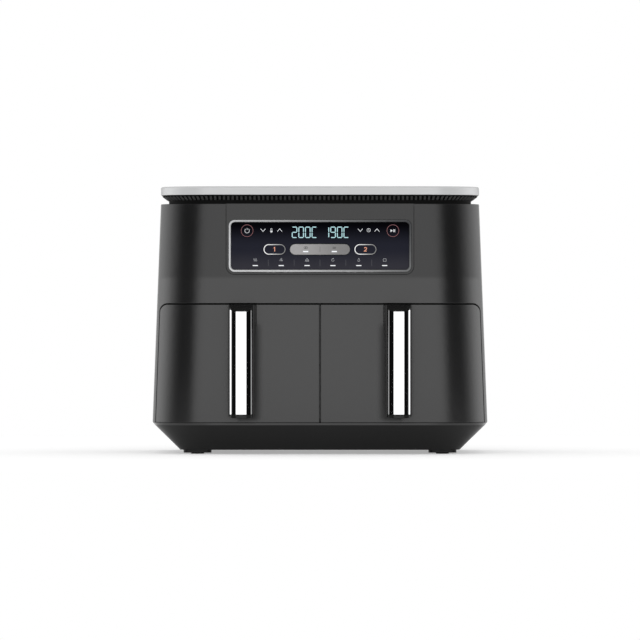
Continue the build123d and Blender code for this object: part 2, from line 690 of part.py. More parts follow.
def switch_places():
    """Each tact switch's X and Z: one under every push key, two under the rocker."""
    places = [(key_outline(n).center().X, key_outline(n).center().Y) for n in PUSH_KEYS]
    return places + [(side * ROCKER_STEM_X, KEY_ROW_Z) for side in (-1, 1)]


def tact_switches():
    """Small square switches with round plungers, soldered to the board."""
    switches = []
    half = SWITCH_WIDTH / 2
    radius, rise = PLUNGER
    for x, z in switch_places():
        case = block((x - half, x + half), (SWITCH_TOP_Y + rise, BOARD_Y), (z - half, z + half))
        switches.append(case + peg(x, z, (SWITCH_TOP_Y, SWITCH_TOP_Y + rise), radius))
    return together(switches)


def display_module():
    """Seven-segment lamp block between the board and the lens."""
    return block((-DISPLAY_HALF_WIDTH, DISPLAY_HALF_WIDTH), (LENS_BACK_Y + DISPLAY_GAP, BOARD_Y), DISPLAY_Z)


def power_board():
    """Mains board over the bays, with its transformer, relays and capacitors soldered on."""
    top = POWER_BOARD_Z + BOARD_THICK
    board = block(*POWER_BOARD, (POWER_BOARD_Z, top))
    board += block(*TRANSFORMER, (top, top + TRANSFORMER_HEIGHT))
    for relay_x in RELAYS:
        board += block(relay_x, RELAY_Y, (top, top + RELAY_HEIGHT))
    radius, height = CAPACITOR
    for x in CAPACITOR_X:
        board += post(x, CAPACITOR_Y, (top, top + height), radius)
    return board


def board_posts():
    """Spacers that hold the control board off the lens and the mains board off the bays."""
    posts = []
    for side in (-1, 1):
        for drop in PANEL_POST_DROP:
            posts.append(peg(side * PANEL_POST_X, PANEL_Z - drop, (LENS_BACK_Y, BOARD_Y), PANEL_POST_RADIUS))
        for y in POWER_POST_Y:
            posts.append(post(side * POWER_POST_X, y, (BAY_Z[1], POWER_BOARD_Z), POWER_POST_RADIUS))
    return together(posts)


def ribbon_cable():
    """Flat lead from the control board to the mains board."""
    start_y, end_y, lead_z = BOARD_Y + BOARD_THICK, POWER_BOARD[1][0], POWER_BOARD_Z + BOARD_THICK / 2
    width, thick = RIBBON
    line = FilletPolyline(
        (start_y, RIBBON_Z),
        (start_y + RIBBON_RUNS[0], RIBBON_Z),
        (start_y + RIBBON_RUNS[1], lead_z),
        (end_y, lead_z),
        radius=RIBBON_BEND,
    )
    strip = Plane.YZ.offset(-width / 2) * trace(line, thick)
    return extrude(strip, amount=width)


# Cooking bays

def cooking_bay():
    """Sheet-metal box, open in front for the drawer and raised above it for the fan."""
    (x0, x1), (y0, y1), (z0, z1) = BAY_X, BAY_Y, BAY_Z
    sheet = BAY_SHEET
    bay = block(BAY_X, BAY_Y, BAY_Z)
    bay = fillet(bay.edges().filter_by(Axis.Z).group_by(Axis.Y)[-1], BAY_CORNER)
    room = block((x0 + sheet, x1 - sheet), (y0 + sheet, y1 - sheet), (z0 + sheet, z1 - sheet))
    bay -= fillet(room.edges().filter_by(Axis.Z).group_by(Axis.Y)[-1], BAY_CORNER - sheet)
    bay -= block((x0 + sheet, x1 - sheet), (y0 - 1, y0 + 2), (z0 + sheet, BAY_MOUTH_Z))
    cx, cy = BAY_CENTRE
    bay -= post(cx, cy, (z1 - 5, z1 + 1), SHAFT_HOLE_RADIUS)
    for x, y in heater_terminals():
        bay -= post(x, y, (z1 - 5, z1 + 1), HEATER_TUBE + HEATER_HOLE_GAP)
    bay -= peg(*PROBE, (y1 - 5, y1 + 1), PROBE_HOLE_RADIUS)
    for x, y in bay_post_places():
        bay -= post(x, y, (z0 - 1, z0 + sheet + 1), SCREW_SHANK_RADIUS + SCREW_FIT)
    return bay


def drawer_runners():
    """Low strips on each bay's floor that the pans slide on."""
    floor = BAY_Z[0] + BAY_SHEET
    strips = []
    half = RUNNER[0] / 2
    for x in (PAN_CENTRE[0] - RUNNER_X, PAN_CENTRE[0] + RUNNER_X):
        strip = block((x - half, x + half), RUNNER_Y, (floor, floor + RUNNER[1]))
        strips += [strip, mirrored(strip)]
    return together(strips)


def heater_terminals():
    """Where the two ends of the heater go up through the bay's roof."""
    cx, cy = BAY_CENTRE
    gap = radians(HEATER_GAP_DEG)
    places = []
    for radius in HEATER_RINGS:
        x, y = cx + radius * cos(gap), cy + radius * sin(gap)
        places.append((x + HEATER_BEND * sin(gap), y - HEATER_BEND * cos(gap)))
    return places


def heater():
    """One tube: round the outer ring, back round the inner ring, with both ends turned up."""
    cx, cy = BAY_CENTRE
    inner, outer = HEATER_RINGS
    bend = HEATER_BEND
    middle = (inner + outer) / 2
    turn = (outer - inner) / 2
    first, last = HEATER_GAP_DEG, HEATER_END_DEG

    def on_ring(radius, degrees):
        angle = radians(degrees)
        return Vector(cx + radius * cos(angle), cy + radius * sin(angle), HEATER_Z)

    def riser(radius):
        start = on_ring(radius, first)
        back = Vector(sin(radians(first)), -cos(radians(first)), 0)
        corner_mid = start + back * bend * sin(pi / 4) + Vector(0, 0, bend * (1 - cos(pi / 4)))
        corner_end = start + back * bend + Vector(0, 0, bend)
        top = Vector(corner_end.X, corner_end.Y, BAY_Z[1] + HEATER_TERMINAL)
        return Line(top, corner_end), ThreePointArc(corner_end, corner_mid, start)

    outer_rise = riser(outer)
    inner_rise = riser(inner)
    outer_arc = ThreePointArc(on_ring(outer, first), on_ring(outer, 180), on_ring(outer, last))
    tip = on_ring(middle, last) + Vector(-sin(radians(last)), cos(radians(last)), 0) * turn
    u_turn = ThreePointArc(on_ring(outer, last), tip, on_ring(inner, last))
    inner_arc = ThreePointArc(on_ring(inner, last), on_ring(inner, 180), on_ring(inner, first))
    path = Wire([*outer_rise, outer_arc, u_turn, inner_arc, *inner_rise])
    start = outer_rise[0] @ 0
    section = Plane(start, z_dir=(0, 0, -1)) * Circle(HEATER_TUBE)
    return sweep(section, path=path)


def heater_guard():
    """Perforated disc under the heater, hung from the roof on three studs."""
    rings = ((16, 6), (29, 12), (42, 18), (55, 22), (68, 28))
    disc = Circle(GUARD_RADIUS)
    for radius, count in rings:
        disc -= PolarLocations(radius, count) * Circle(GUARD_HOLE_RADIUS)
    cx, cy = BAY_CENTRE
    guard = Pos(cx, cy, GUARD_Z) * extrude(disc, amount=GUARD_SHEET)
    reach, radius = GUARD_STUD
    for i in range(3):
        angle = radians(90 + 120 * i)
        x, y = cx + reach * cos(angle), cy + reach * sin(angle)
        guard += post(x, y, (GUARD_Z, BAY_Z[1] - BAY_SHEET), radius)
    return guard


def motor_can():
    """Motor case with its wound stator ring, open in the middle for the rotor."""
    cx, cy = BAY_CENTRE
    low, high = MOTOR_Z
    can = post(cx, cy, MOTOR_Z, MOTOR_RADIUS)
    can = fillet(can.edges(), MOTOR_WALL)
    can -= post(cx, cy, (low + MOTOR_WALL, high - MOTOR_WALL), MOTOR_RADIUS - MOTOR_WALL)
    stator = post(cx, cy, (low + STATOR_IN, high - STATOR_IN), MOTOR_RADIUS - MOTOR_WALL / 2)
    can += stator - post(cx, cy, MOTOR_Z, ROTOR_RADIUS + ROTOR_GAP)
    return can - post(cx, cy, (low - 1, high + 1), BUSH_RADIUS + BUSH_FIT)


def motor_bushes():
    """Plain bearings in both ends of both motors."""
    cx, cy = BAY_CENTRE
    bushes = []
    out, into = BUSH_Z
    low, high = MOTOR_Z
    for z in ((low + out, low + into), (high - into, high - out)):
        bush = post(cx, cy, z, BUSH_RADIUS) - post(cx, cy, z, SHAFT_RADIUS + BUSH_CLEARANCE)
        bushes += [bush, mirrored(bush)]
    return together(bushes)


def motor_mount():
    """Ring on three legs that stands the motor off the hot roof."""
    cx, cy = BAY_CENTRE
    low = MOTOR_Z[0] - MOUNT_THICK
    mount = post(cx, cy, (low, MOTOR_Z[0]), MOTOR_RADIUS)
    mount -= post(cx, cy, (low - 1, MOTOR_Z[0] + 1), MOUNT_BORE_RADIUS)
    reach, radius = MOUNT_LEG
    for i in range(3):
        angle = radians(30 + 120 * i)
        x, y = cx + reach * cos(angle), cy + reach * sin(angle)
        mount += post(x, y, (BAY_Z[1], low), radius)
    return mount


def rotor():
    """Shaft and laminated core, from the hot fan up to the cooling fan."""
    cx, cy = BAY_CENTRE
    core = post(cx, cy, (MOTOR_Z[0] + ROTOR_IN, MOTOR_Z[1] - ROTOR_IN), ROTOR_RADIUS)
    return core + post(cx, cy, (FAN_Z[0] - SHAFT_END, COOLER_Z[1] + SHAFT_END), SHAFT_RADIUS)


def circulation_fan():
    """Radial fan with a back disc, driven in the hot space."""
    cx, cy = BAY_CENTRE
    low, high = FAN_Z
    fan = post(0, 0, (high - FAN_SHEET, high), FAN_RADIUS) + post(0, 0, FAN_Z, FAN_HUB_RADIUS)
    blade = Rot(0, 0, FAN_BLADE_DEG) * Box(FAN_BLADE_LENGTH, FAN_SHEET, high - low)
    blade = Pos(*FAN_BLADE_PLACE, (low + high) / 2) * blade
    for i in range(FAN_BLADES):
        fan += Rot(0, 0, i * 360 / FAN_BLADES) * blade
    fan -= post(0, 0, (low - 1, high + 1), SHAFT_RADIUS + HUB_FIT)
    return Pos(cx, cy, 0) * fan


def cooling_fan():
    """Axial fan on the shaft's top that draws room air over the motor."""
    cx, cy = BAY_CENTRE
    fan = post(0, 0, COOLER_Z, COOLER_HUB_RADIUS)
    middle = sum(COOLER_Z) / 2
    blade = Rot(COOLER_BLADE_DEG, 0, 0) * Box(COOLER_RADIUS - COOLER_ROOT, *COOLER_BLADE)
    blade = Pos((COOLER_RADIUS + COOLER_ROOT) / 2, 0, middle) * blade
    for i in range(COOLER_BLADES):
        fan += Rot(0, 0, i * 360 / COOLER_BLADES) * blade
    fan -= post(0, 0, (COOLER_Z[0] - 2, COOLER_Z[1] + 2), SHAFT_RADIUS + HUB_FIT)
    return Pos(cx, cy, 0) * fan


def temperature_probes():
    """A thermistor rod through each bay's back wall, above the pan."""
    probe = peg(*PROBE, PROBE_Y, PROBE_RADIUS)
    probe += peg(*PROBE, (BAY_Y[1], BAY_Y[1] + PROBE_COLLAR[1]), PROBE_COLLAR[0])
    return together([probe, mirrored(probe)])


def thermal_cutouts():
    """A disc-shaped overheat cut-out on each bay's roof."""
    roof = BAY_Z[1]
    cutout = post(*CUTOUT, (roof, roof + CUTOUT_FLANGE[1]), CUTOUT_FLANGE[0])
    cutout += post(*CUTOUT, (roof, roof + CUTOUT_CASE[1]), CUTOUT_CASE[0])
    return together([cutout, mirrored(cutout)])


def interlock_switches():
    """Micro-switches on the shelf that tell whether a drawer is home."""
    low = SHELF_Z + WALL
    high = low + INTERLOCK_HEIGHT
    switch = block(INTERLOCK_X, INTERLOCK_Y, (low, high))
    switch += block(INTERLOCK_LEVER_X, INTERLOCK_Y, (low, high + INTERLOCK_LEVER_RISE))
    return together([switch, mirrored(switch)])


# Drawers

def drawer_front():
    """Grey front moulding that wraps round the casing's corner, hollow behind and bored for the grip."""
    outline = drawer_outline(SEAM_TOP, SEAM_SIDE, SEAM_BOTTOM, MIDDLE_GAP / 2)
    back = FRONT_Y + FRONT_DEPTH
    front = casing_block(BASE_TOP_Z, SHELF_Z) & panel(outline, (FRONT_Y - 1, back))
    rim = [e for e in front.edges() if e.center().Y < back - 0.5 and is_seam_edge(e)]
    front = fillet(rim, FRONT_EDGE)
    hollow = casing_block(BASE_TOP_Z - 1, SHELF_Z + 1, FRONT_SKIN)
    hollow &= panel(offset(outline, -FRONT_SKIN), (FRONT_Y - 1, back + 1))
    front -= hollow
    for z in GRIP_SCREW_Z:
        depth = (FRONT_Y - 1, FRONT_Y + FRONT_SKIN + 1)
        front -= peg(HANDLE_X, z, depth, SCREW_SHANK_RADIUS + SCREW_FIT)
    return front


def is_seam_edge(edge):
    """True for an edge of the drawer's face, false for one that runs back or up a tangent line."""
    start, end = edge @ 0, edge @ 1
    runs_back = abs(end.Y - start.Y) > 20 and abs(end.X - start.X) < 1 and abs(end.Z - start.Z) < 1
    corner_x = BODY_WIDTH / 2 - FRONT_CORNER[0]
    tangent_x = (corner_x - 12, corner_x + 2)
    upright = abs(end.Z - start.Z) > 60
    on_tangent = upright and tangent_x[0] < (start.X + end.X) / 2 < tangent_x[1]
    return not runs_back and not on_tangent


def drawer_backplate():
    """Flat inner cover that closes the front moulding and carries the pan."""
    margin = FRONT_SKIN + FIT_GAP
    gaps = (SEAM_TOP, SEAM_SIDE, SEAM_BOTTOM, MIDDLE_GAP / 2)
    outline = drawer_outline(*[gap + margin for gap in gaps])
    back = FRONT_Y + FRONT_DEPTH
    plate = panel(outline, (back - BACKPLATE, back)) & casing_block(BASE_TOP_Z, SHELF_Z, margin)
    return plate - together(screw_bores())


def screw_places():
    """Screws that clamp the pan, backplate and grip together, as X and Z."""
    return [(PAN_CENTRE[0] + dx, z) for dx in (-PAN_SCREW_X, PAN_SCREW_X) for z in PAN_SCREW_Z]


def screw_bores():
    """Holes for the drawer's screws through the backplate and the pan's front wall."""
    back = FRONT_Y + FRONT_DEPTH
    depth = (back - PAN_SCREW_REACH, back + PAN_SCREW_REACH)
    return [peg(x, z, depth, PAN_SCREW_HOLE_RADIUS) for x, z in screw_places()]


def drawer_screws():
    """Four dome-headed screws inside the pan, two under the front skin for the grip."""
    back, skin = FRONT_Y + FRONT_DEPTH, FRONT_Y + FRONT_SKIN
    seat = back + PAN_WALL
    head_radius, head_height = SCREW_HEAD
    screws = []
    for x, z in screw_places():
        head = peg(x, z, (seat, seat + PAN_SCREW_HEAD), head_radius)
        screws.append(head + peg(x, z, (back - PAN_SCREW_REACH, seat), SCREW_SHANK_RADIUS))
    for z in GRIP_SCREW_Z:
        head = peg(HANDLE_X, z, (skin, skin + head_height), head_radius)
        screws.append(head + peg(HANDLE_X, z, (FRONT_Y - GRIP_SCREW_REACH, skin), SCREW_SHANK_RADIUS))
    return together(screws)


def cooking_pan():
    """Deep non-stick pan with a rolled rim."""
    x, y = PAN_CENTRE
    width, depth = PAN_X[1] - PAN_X[0], PAN_Y[1] - PAN_Y[0]
    height = PAN_Z[1] - PAN_Z[0]
    floor = Pos(x, y, PAN_Z[0]) * RectangleRounded(width, depth, PAN_CORNER)
    pan = extrude(floor, amount=height)
    pan = fillet(pan.edges().group_by(Axis.Z)[0], PAN_FLOOR_ROUND[0])
    rim_z = PAN_Z[1] - PAN_WALL
    rim = Pos(x, y, rim_z) * RectangleRounded(
        width + 2 * PAN_FLANGE, depth + 2 * PAN_FLANGE, PAN_CORNER + PAN_FLANGE
    )
    flange = extrude(rim, amount=PAN_WALL)
    flange &= block((0, BODY_WIDTH), (PAN_Y[0], BACK_Y), (rim_z, PAN_Z[1]))
    pan += flange
    inside = Pos(x, y, PAN_Z[0] + PAN_WALL) * RectangleRounded(
        width - 2 * PAN_WALL, depth - 2 * PAN_WALL, PAN_CORNER - PAN_WALL
    )
    cavity = extrude(inside, amount=height)
    cavity = fillet(cavity.edges().group_by(Axis.Z)[0], PAN_FLOOR_ROUND[1])
    return pan - cavity - together(screw_bores())


def strip_section(inset, back_y):
    """Plan of the handle's front, drawn in by an inset: a flat, a facet each side and round edges."""
    half, radius = STRIP_HALF_WIDTH - inset, STRIP_ROUND - inset
    turn = radians(STRIP_FACET_DEG)
    flat = STRIP_FLAT_HALF - inset * tan(turn / 2)
    crown_y = GRIP_FRONT_Y + inset + STRIP_CROWN
    facet_x = half - radius * (1 - sin(turn))
    facet_y = crown_y + (facet_x - flat) * tan(turn)
    side_y = facet_y + radius * cos(turn)
    bow = (turn + pi / 2) / 2
    bow_x, bow_y = half - radius * (1 - sin(bow)), side_y - radius * cos(bow)
    edges = [
        ThreePointArc((-flat, crown_y), (0, crown_y - STRIP_CROWN), (flat, crown_y)),
        Line((flat, crown_y), (facet_x, facet_y)),
        ThreePointArc((facet_x, facet_y), (bow_x, bow_y), (half, side_y)),
        Polyline((half, side_y), (half, back_y), (-half, back_y), (-half, side_y)),
        ThreePointArc((-half, side_y), (-bow_x, bow_y), (-facet_x, facet_y)),
        Line((-facet_x, facet_y), (-flat, crown_y)),
    ]
    return make_face(edges)


def handle_profile():
    """Side view of the handle in Y and Z: a hanging bar with a neck at its top."""
    front, bar_back = GRIP_FRONT_Y, GRIP_FRONT_Y + BAR_THICK
    top = SHELF_Z - SEAM_TOP - 0.4
    points = [
        (FRONT_Y, top),
        (front + STRIP_DEPTH, top),
        (front - 1, STRIP_TOP_Z + 0.5),
        (front - 1, GRIP_BOTTOM_Z),
        (bar_back - 1, GRIP_BOTTOM_Z + 3),
        (bar_back, GRIP_BOTTOM_Z + 18),
        (bar_back + 1.5, NECK_UNDER_Z - 26),
        (FRONT_Y - 8, NECK_UNDER_Z),
        (FRONT_Y, NECK_UNDER_Z),
    ]
    face = make_face(Polyline(*points, close=True))
    for corner, radius in ((1, 4), (4, 1.5), (5, 40), (6, 22), (7, 6)):
        vertex = face.vertices().sort_by_distance(points[corner])[0]
        face = fillet([vertex], radius)
    return face


def handle_bar():
    """The whole handle before the bright strip is let into it; its neck spreads towards the middle."""
    side = extrude(Plane.YZ * handle_profile(), amount=GRIP_HALF_WIDTH + NECK_SPREAD, both=True)
    edge_y = GRIP_FRONT_Y + STRIP_DEPTH
    core = strip_section(0, edge_y)
    rear = make_face(
        Polyline(
            (-GRIP_HALF_WIDTH, edge_y),
            (GRIP_HALF_WIDTH, edge_y),
            (GRIP_HALF_WIDTH, FRONT_Y),
            (-GRIP_HALF_WIDTH - NECK_SPREAD, FRONT_Y),
            close=True,
        )
    )
    height = SHELF_Z - GRIP_BOTTOM_Z + 10
    prism = extrude(Pos(0, 0, GRIP_BOTTOM_Z - 5) * core, amount=height)
    prism += extrude(Pos(0, 0, GRIP_BOTTOM_Z - 5) * rear, amount=height)
    bar = side & prism
    flanks = [e for e in bar.edges() if abs(e.center().X) > GRIP_HALF_WIDTH - 0.01]
    return fillet([e for e in flanks if edge_y + 0.1 < e.center().Y < FRONT_Y - 0.5], GRIP_EDGE)


def handle_strip_zone():
    """The space that the bright strip fills: a shell round the bar's front, under a sloping lip."""
    edge_y = GRIP_FRONT_Y + STRIP_DEPTH
    height = SHELF_Z - STRIP_BOTTOM_Z
    near_y, far_y = GRIP_FRONT_Y - 2, edge_y + 2
    lip = Polyline(
        (near_y, STRIP_TOP_Z + STRIP_TOP_SLOPE * (near_y - GRIP_FRONT_Y)),
        (far_y, STRIP_TOP_Z + STRIP_TOP_SLOPE * (far_y - GRIP_FRONT_Y)),
        (far_y, SHELF_Z + 1),
        (near_y, SHELF_Z + 1),
        close=True,
    )
    outer = extrude(Pos(0, 0, STRIP_BOTTOM_Z) * strip_section(0, edge_y), amount=height)
    inner = strip_section(STRIP_THICK, edge_y + 1)
    shell = outer - extrude(Pos(0, 0, STRIP_BOTTOM_Z - 1) * inner, amount=height + 2)
    return shell - extrude(Plane.YZ * make_face(lip), amount=GRIP_HALF_WIDTH, both=True)


def handle_pieces():
    """The black grip and the bright strip on its front, in the right-hand drawer's place."""
    bar = handle_bar()
    zone = handle_strip_zone()
    strip = bar & zone
    low_front = [e for e in strip.edges().group_by(Axis.Z)[0] if e.center().Y < GRIP_FRONT_Y + 1.5]
    strip = chamfer(low_front, STRIP_BEVEL)
    grip = bar - zone
    for z in GRIP_SCREW_Z:
        grip -= peg(0, z, (FRONT_Y - GRIP_SCREW_REACH - 1, FRONT_Y + 1), GRIP_BORE_RADIUS)
    place = Pos(HANDLE_X, 0, 0)
    return place * grip, place * strip


def crisper_plate():
    """Slotted plate on four bent legs, with a finger hole in the middle."""
    x, y = PAN_CENTRE
    width = PAN_X[1] - PAN_X[0] - 2 * (PAN_WALL + PLATE_GAP)
    depth = PAN_Y[1] - PAN_Y[0] - 2 * (PAN_WALL + PLATE_GAP)
    face = RectangleRounded(width, depth, PAN_CORNER - PAN_WALL - PLATE_GAP)
    columns, rows = [spread(count, pitch) for count, pitch in zip(PLATE_GRID, PLATE_PITCH)]
    slots = []
    for i, sx in enumerate(columns):
        for j, sy in enumerate(rows):
            if abs(sx) > PLATE_CLEAR[0] or abs(sy) > PLATE_CLEAR[1]:
                slots.append(Pos(sx, sy) * SlotOverall(*PLATE_SLOT, rotation=45 if (i + j) % 2 else -45))
    face = face - slots - Circle(FINGER_HOLE_RADIUS)
    plate = extrude(face, amount=PLATE_THICK)
    leg_height = PLATE_Z - PAN_Z[0] - PAN_WALL - FIT_GAP
    half_x, half_y = PLATE_LEG[0] / 2, PLATE_LEG[1] / 2
    for sx in (-1, 1):
        for sy in (-1, 1):
            leg_x, leg_y = sx * (width / 2 - PLATE_LEG_IN[0]), sy * (depth / 2 - PLATE_LEG_IN[1])
            span_x, span_y = (leg_x - half_x, leg_x + half_x), (leg_y - half_y, leg_y + half_y)
            plate += block(span_x, span_y, (-leg_height, 1))
    return Pos(x, y, PLATE_Z) * plate


def crisper_bumpers(plate):
    """Silicone clips over the plate's edges that keep it off the pan's walls."""
    x, y = PAN_CENTRE
    reach_x = (PAN_X[1] - PAN_X[0]) / 2 - PAN_WALL - BUMPER_GAP
    reach_y = (PAN_Y[1] - PAN_Y[0]) / 2 - PAN_WALL - BUMPER_GAP
    length, thick, lap = BUMPER
    half = length / 2
    z = (PLATE_Z - lap, PLATE_Z + PLATE_THICK + lap)
    clips = []
    for side in (-1, 1):
        out_x, in_x = x + side * reach_x, x + side * (reach_x - thick)
        clips.append(block((min(out_x, in_x), max(out_x, in_x)), (y - half, y + half), z))
        out_y, in_y = y + side * reach_y, y + side * (reach_y - thick)
        clips.append(block((x - half, x + half), (min(out_y, in_y), max(out_y, in_y)), z))
    return together([clip - plate for clip in clips])


def build():
    """Makes every piece."""
    PARTS["main_housing"] = main_housing()
    PARTS["base_pan"] = base_pan()
    PARTS["foot_pads"] = foot_pads()
    PARTS["case_screws"] = case_screws()
    PARTS["rear_cover"] = rear_cover()
    PARTS["cord_gland"] = cord_gland()
    PARTS["vent_ring"] = vent_ring()
    PARTS["top_cap"] = top_cap()
    PARTS["control_fascia"] = control_fascia()
    PARTS["panel_bezel"] = panel_bezel()
    PARTS["panel_lens"] = panel_lens()
    PARTS["light_guides"] = light_guides()
    PARTS["display_module"] = display_module()
    PARTS["control_board"] = control_board()
    PARTS["tact_switches"] = tact_switches()
    PARTS["power_board"] = power_board()
    PARTS["board_posts"] = board_posts()
    PARTS["ribbon_cable"] = ribbon_cable()
    for name in PUSH_KEYS:
        PARTS[name] = push_key(name)
    PARTS["link_rocker"] = rocker_key()
    both_sides("cooking_bay", cooking_bay())
    both_sides("heater", heater())
    both_sides("heater_guard", heater_guard())
    both_sides("motor_can", motor_can())
    both_sides("motor_mount", motor_mount())
    both_sides("rotor", rotor())
    both_sides("circulation_fan", circulation_fan())
    both_sides("cooling_fan", cooling_fan())
    PARTS["motor_bushes"] = motor_bushes()
    PARTS["drawer_runners"] = drawer_runners()
    PARTS["temperature_probes"] = temperature_probes()
    PARTS["thermal_cutouts"] = thermal_cutouts()
    PARTS["interlock_switches"] = interlock_switches()
    grip, strip = handle_pieces()
    both_sides("drawer_front", drawer_front())
    both_sides("drawer_backplate", drawer_backplate())
    both_sides("pan", cooking_pan())
    both_sides("handle_grip", grip)
    both_sides("handle_strip", strip)
    both_sides("drawer_screws", drawer_screws())
    plate = crisper_plate()
    both_sides("crisper_plate", plate)
    both_sides("crisper_bumpers", crisper_bumpers(plate))


build()
os.makedirs("parts", exist_ok=True)
for part_name, shape in PARTS.items():
    export_step(shape, f"parts/{part_name}.step")
print(len(PARTS), "pieces")
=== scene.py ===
"""Looks of a twin-drawer air fryer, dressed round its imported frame.

Lengths are in metres in the frame's own axes: +X to the right, +Y to the back, +Z up.
"""

import json
import logging
import math
from abc import ABC, abstractmethod
from dataclasses import dataclass, replace
from enum import Enum
from functools import lru_cache
from typing import Callable, Mapping, Optional, Sequence, Union

import bmesh
import bpy
from bpy.types import Material, Mesh, Node, NodeSocket, NodeTree, Object
from mathutils import Euler, Matrix, Vector


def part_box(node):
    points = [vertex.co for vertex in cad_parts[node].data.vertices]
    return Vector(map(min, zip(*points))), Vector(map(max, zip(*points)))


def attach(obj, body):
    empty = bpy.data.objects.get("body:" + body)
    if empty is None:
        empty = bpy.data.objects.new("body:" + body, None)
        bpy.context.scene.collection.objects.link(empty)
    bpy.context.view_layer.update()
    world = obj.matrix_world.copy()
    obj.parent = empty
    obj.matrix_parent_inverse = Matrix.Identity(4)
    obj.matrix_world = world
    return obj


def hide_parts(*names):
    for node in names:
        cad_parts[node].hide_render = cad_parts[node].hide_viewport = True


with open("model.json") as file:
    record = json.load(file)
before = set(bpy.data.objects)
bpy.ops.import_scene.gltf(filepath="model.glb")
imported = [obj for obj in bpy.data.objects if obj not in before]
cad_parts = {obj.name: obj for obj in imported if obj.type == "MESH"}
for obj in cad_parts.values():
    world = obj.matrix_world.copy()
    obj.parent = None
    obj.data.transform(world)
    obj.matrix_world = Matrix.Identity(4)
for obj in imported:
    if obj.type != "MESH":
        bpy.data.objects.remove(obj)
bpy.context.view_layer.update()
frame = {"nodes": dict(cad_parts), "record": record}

LOG = logging.getLogger("air_fryer")
MM = 0.001
RIGHT, BACK, UP = (1.0, 0.0, 0.0), (0.0, 1.0, 0.0), (0.0, 0.0, 1.0)
CENTRE = (0.0, 0.0)

Colour = tuple[float, float, float]
Axis = tuple[float, float, float]
Point = tuple[float, float]
Span = tuple[float, float]
Feed = Union[NodeSocket, float, int, Sequence[float]]
Feeds = Mapping[Union[int, str], Feed]
Sockets = Mapping[Union[int, str], NodeSocket]


class Side(Enum):
    """One of the two drawers, with its sign along X."""

    LEFT = -1
    RIGHT = 1

    def node(self, name: str) -> str:
        """The frame's name for a piece on this side."""
        return f"{self.name.lower()}_{name}"


class Drawn(Enum):
    """How an outline of a pictogram is drawn."""

    OPEN = "a line"
    CLOSED = "a line that joins its own start"
    FILLED = "a filled shape"


class Mark(Enum):
    """The pictograms on the panel."""

    HEAT = 0
    AIR = 1
    DOME = 2
    AGAIN = 3
    DROP = 4
    LOAF = 5
    THERMOMETER = 6
    CLOCK_HANDS = 7
    POWER = 8
    START = 9
    ONE = 10
    TWO = 11


# Node wiring

BUMP_DISTANCE = 0.1 * MM


class Wiring:
    """Adds nodes to one tree and joins them."""

    def __init__(self, tree: NodeTree) -> None:
        """Keeps the tree that nodes are added to."""
        self.tree = tree

    def add(self, kind: str, feeds: Optional[Feeds] = None, **settings: object) -> Node:
        """Adds a node.

        Args:
            kind: the node's type name.
            feeds: a value or an output socket for each input, by name or place.
            settings: the node's own options.

        Returns:
            The new node.
        """
        node = self.tree.nodes.new(kind)
        for key, value in settings.items():
            setattr(node, key, value)
        self.fill(node, feeds or {})
        return node

    def fill(self, node: Node, feeds: Feeds) -> None:
        """Links a node's inputs to outputs, or sets their values.

        Args:
            node: the node.
            feeds: a value or an output socket for each input, by name or place.
        """
        for key, value in feeds.items():
            if isinstance(value, NodeSocket):
                self.tree.links.new(value, node.inputs[key])
            else:
                node.inputs[key].default_value = value

    def math(self, operation: str, first: Feed, second: Feed = 0.0, clamp: bool = False) -> NodeSocket:
        """One arithmetic step.

        Args:
            operation: the step's name, such as ADD.
            first: its first number.
            second: its second number, where it takes one.
            clamp: True to keep the result from 0 to 1.

        Returns:
            The result's socket.
        """
        node = self.add("ShaderNodeMath", {0: first, 1: second}, operation=operation, use_clamp=clamp)
        return node.outputs[0]

    def times(self, first: Feed, second: Feed) -> NodeSocket:
        """Two numbers multiplied."""
        return self.math("MULTIPLY", first, second)

    def per(self, length: Feed) -> NodeSocket:
        """How many times a length goes into a metre."""
        return self.math("DIVIDE", 1.0, length)

    def vectors(self, operation: str, first: Feed, second: Feed) -> Sockets:
        """One step with two vectors."""
        return self.add("ShaderNodeVectorMath", {0: first, 1: second}, operation=operation).outputs

    def ease(self, value: Feed, low: Feed, high: Feed) -> NodeSocket:
        """A smooth rise from 0 at low to 1 at high."""
        feeds = {"Value": value, "From Min": low, "From Max": high}
        return self.add("ShaderNodeMapRange", feeds, interpolation_type="SMOOTHSTEP").outputs[0]

    def mix(self, share: Feed, first: Feed, second: Feed) -> NodeSocket:
        """A colour between two colours."""
        feeds = {0: share, 6: rgba(first), 7: rgba(second)}
        return self.add("ShaderNodeMix", feeds, data_type="RGBA").outputs[2]

    def place(self) -> NodeSocket:
        """The point's place in the frame."""
        return self.add("ShaderNodeTexCoord").outputs["Object"]

    def noise(self, place: NodeSocket, scale: Feed, **more: float) -> NodeSocket:
        """Soft noise; more holds its further inputs."""
        return self.add("ShaderNodeTexNoise", {"Vector": place, "Scale": scale, **more}).outputs[0]

    def relief(self, height: Feed, strength: float, **more: Feed) -> NodeSocket:
        """A normal that shows a height pattern; more may hold the normal that it is laid on."""
        feeds = {"Strength": strength, "Distance": BUMP_DISTANCE, "Height": height, **more}
        return self.add("ShaderNodeBump", feeds).outputs[0]

    def group(self, tree: NodeTree, feeds: Feeds) -> Sockets:
        """Places a node group and gives its outputs."""
        return self.add("ShaderNodeGroup", feeds, node_tree=tree).outputs


def rgba(colour: Feed) -> Feed:
    """Adds full alpha to a plain colour and leaves a socket as it is."""
    return colour if isinstance(colour, NodeSocket) else (*colour[:3], 1.0)


def grey(level: float) -> Colour:
    """A colour with three equal parts."""
    return (level, level, level)


def shaded(colour: Colour, factor: float) -> Colour:
    """A colour made lighter or darker."""
    return tuple(min(1.0, part * factor) for part in colour)


GroupWiring = Callable[[Wiring, Sockets], Sockets]


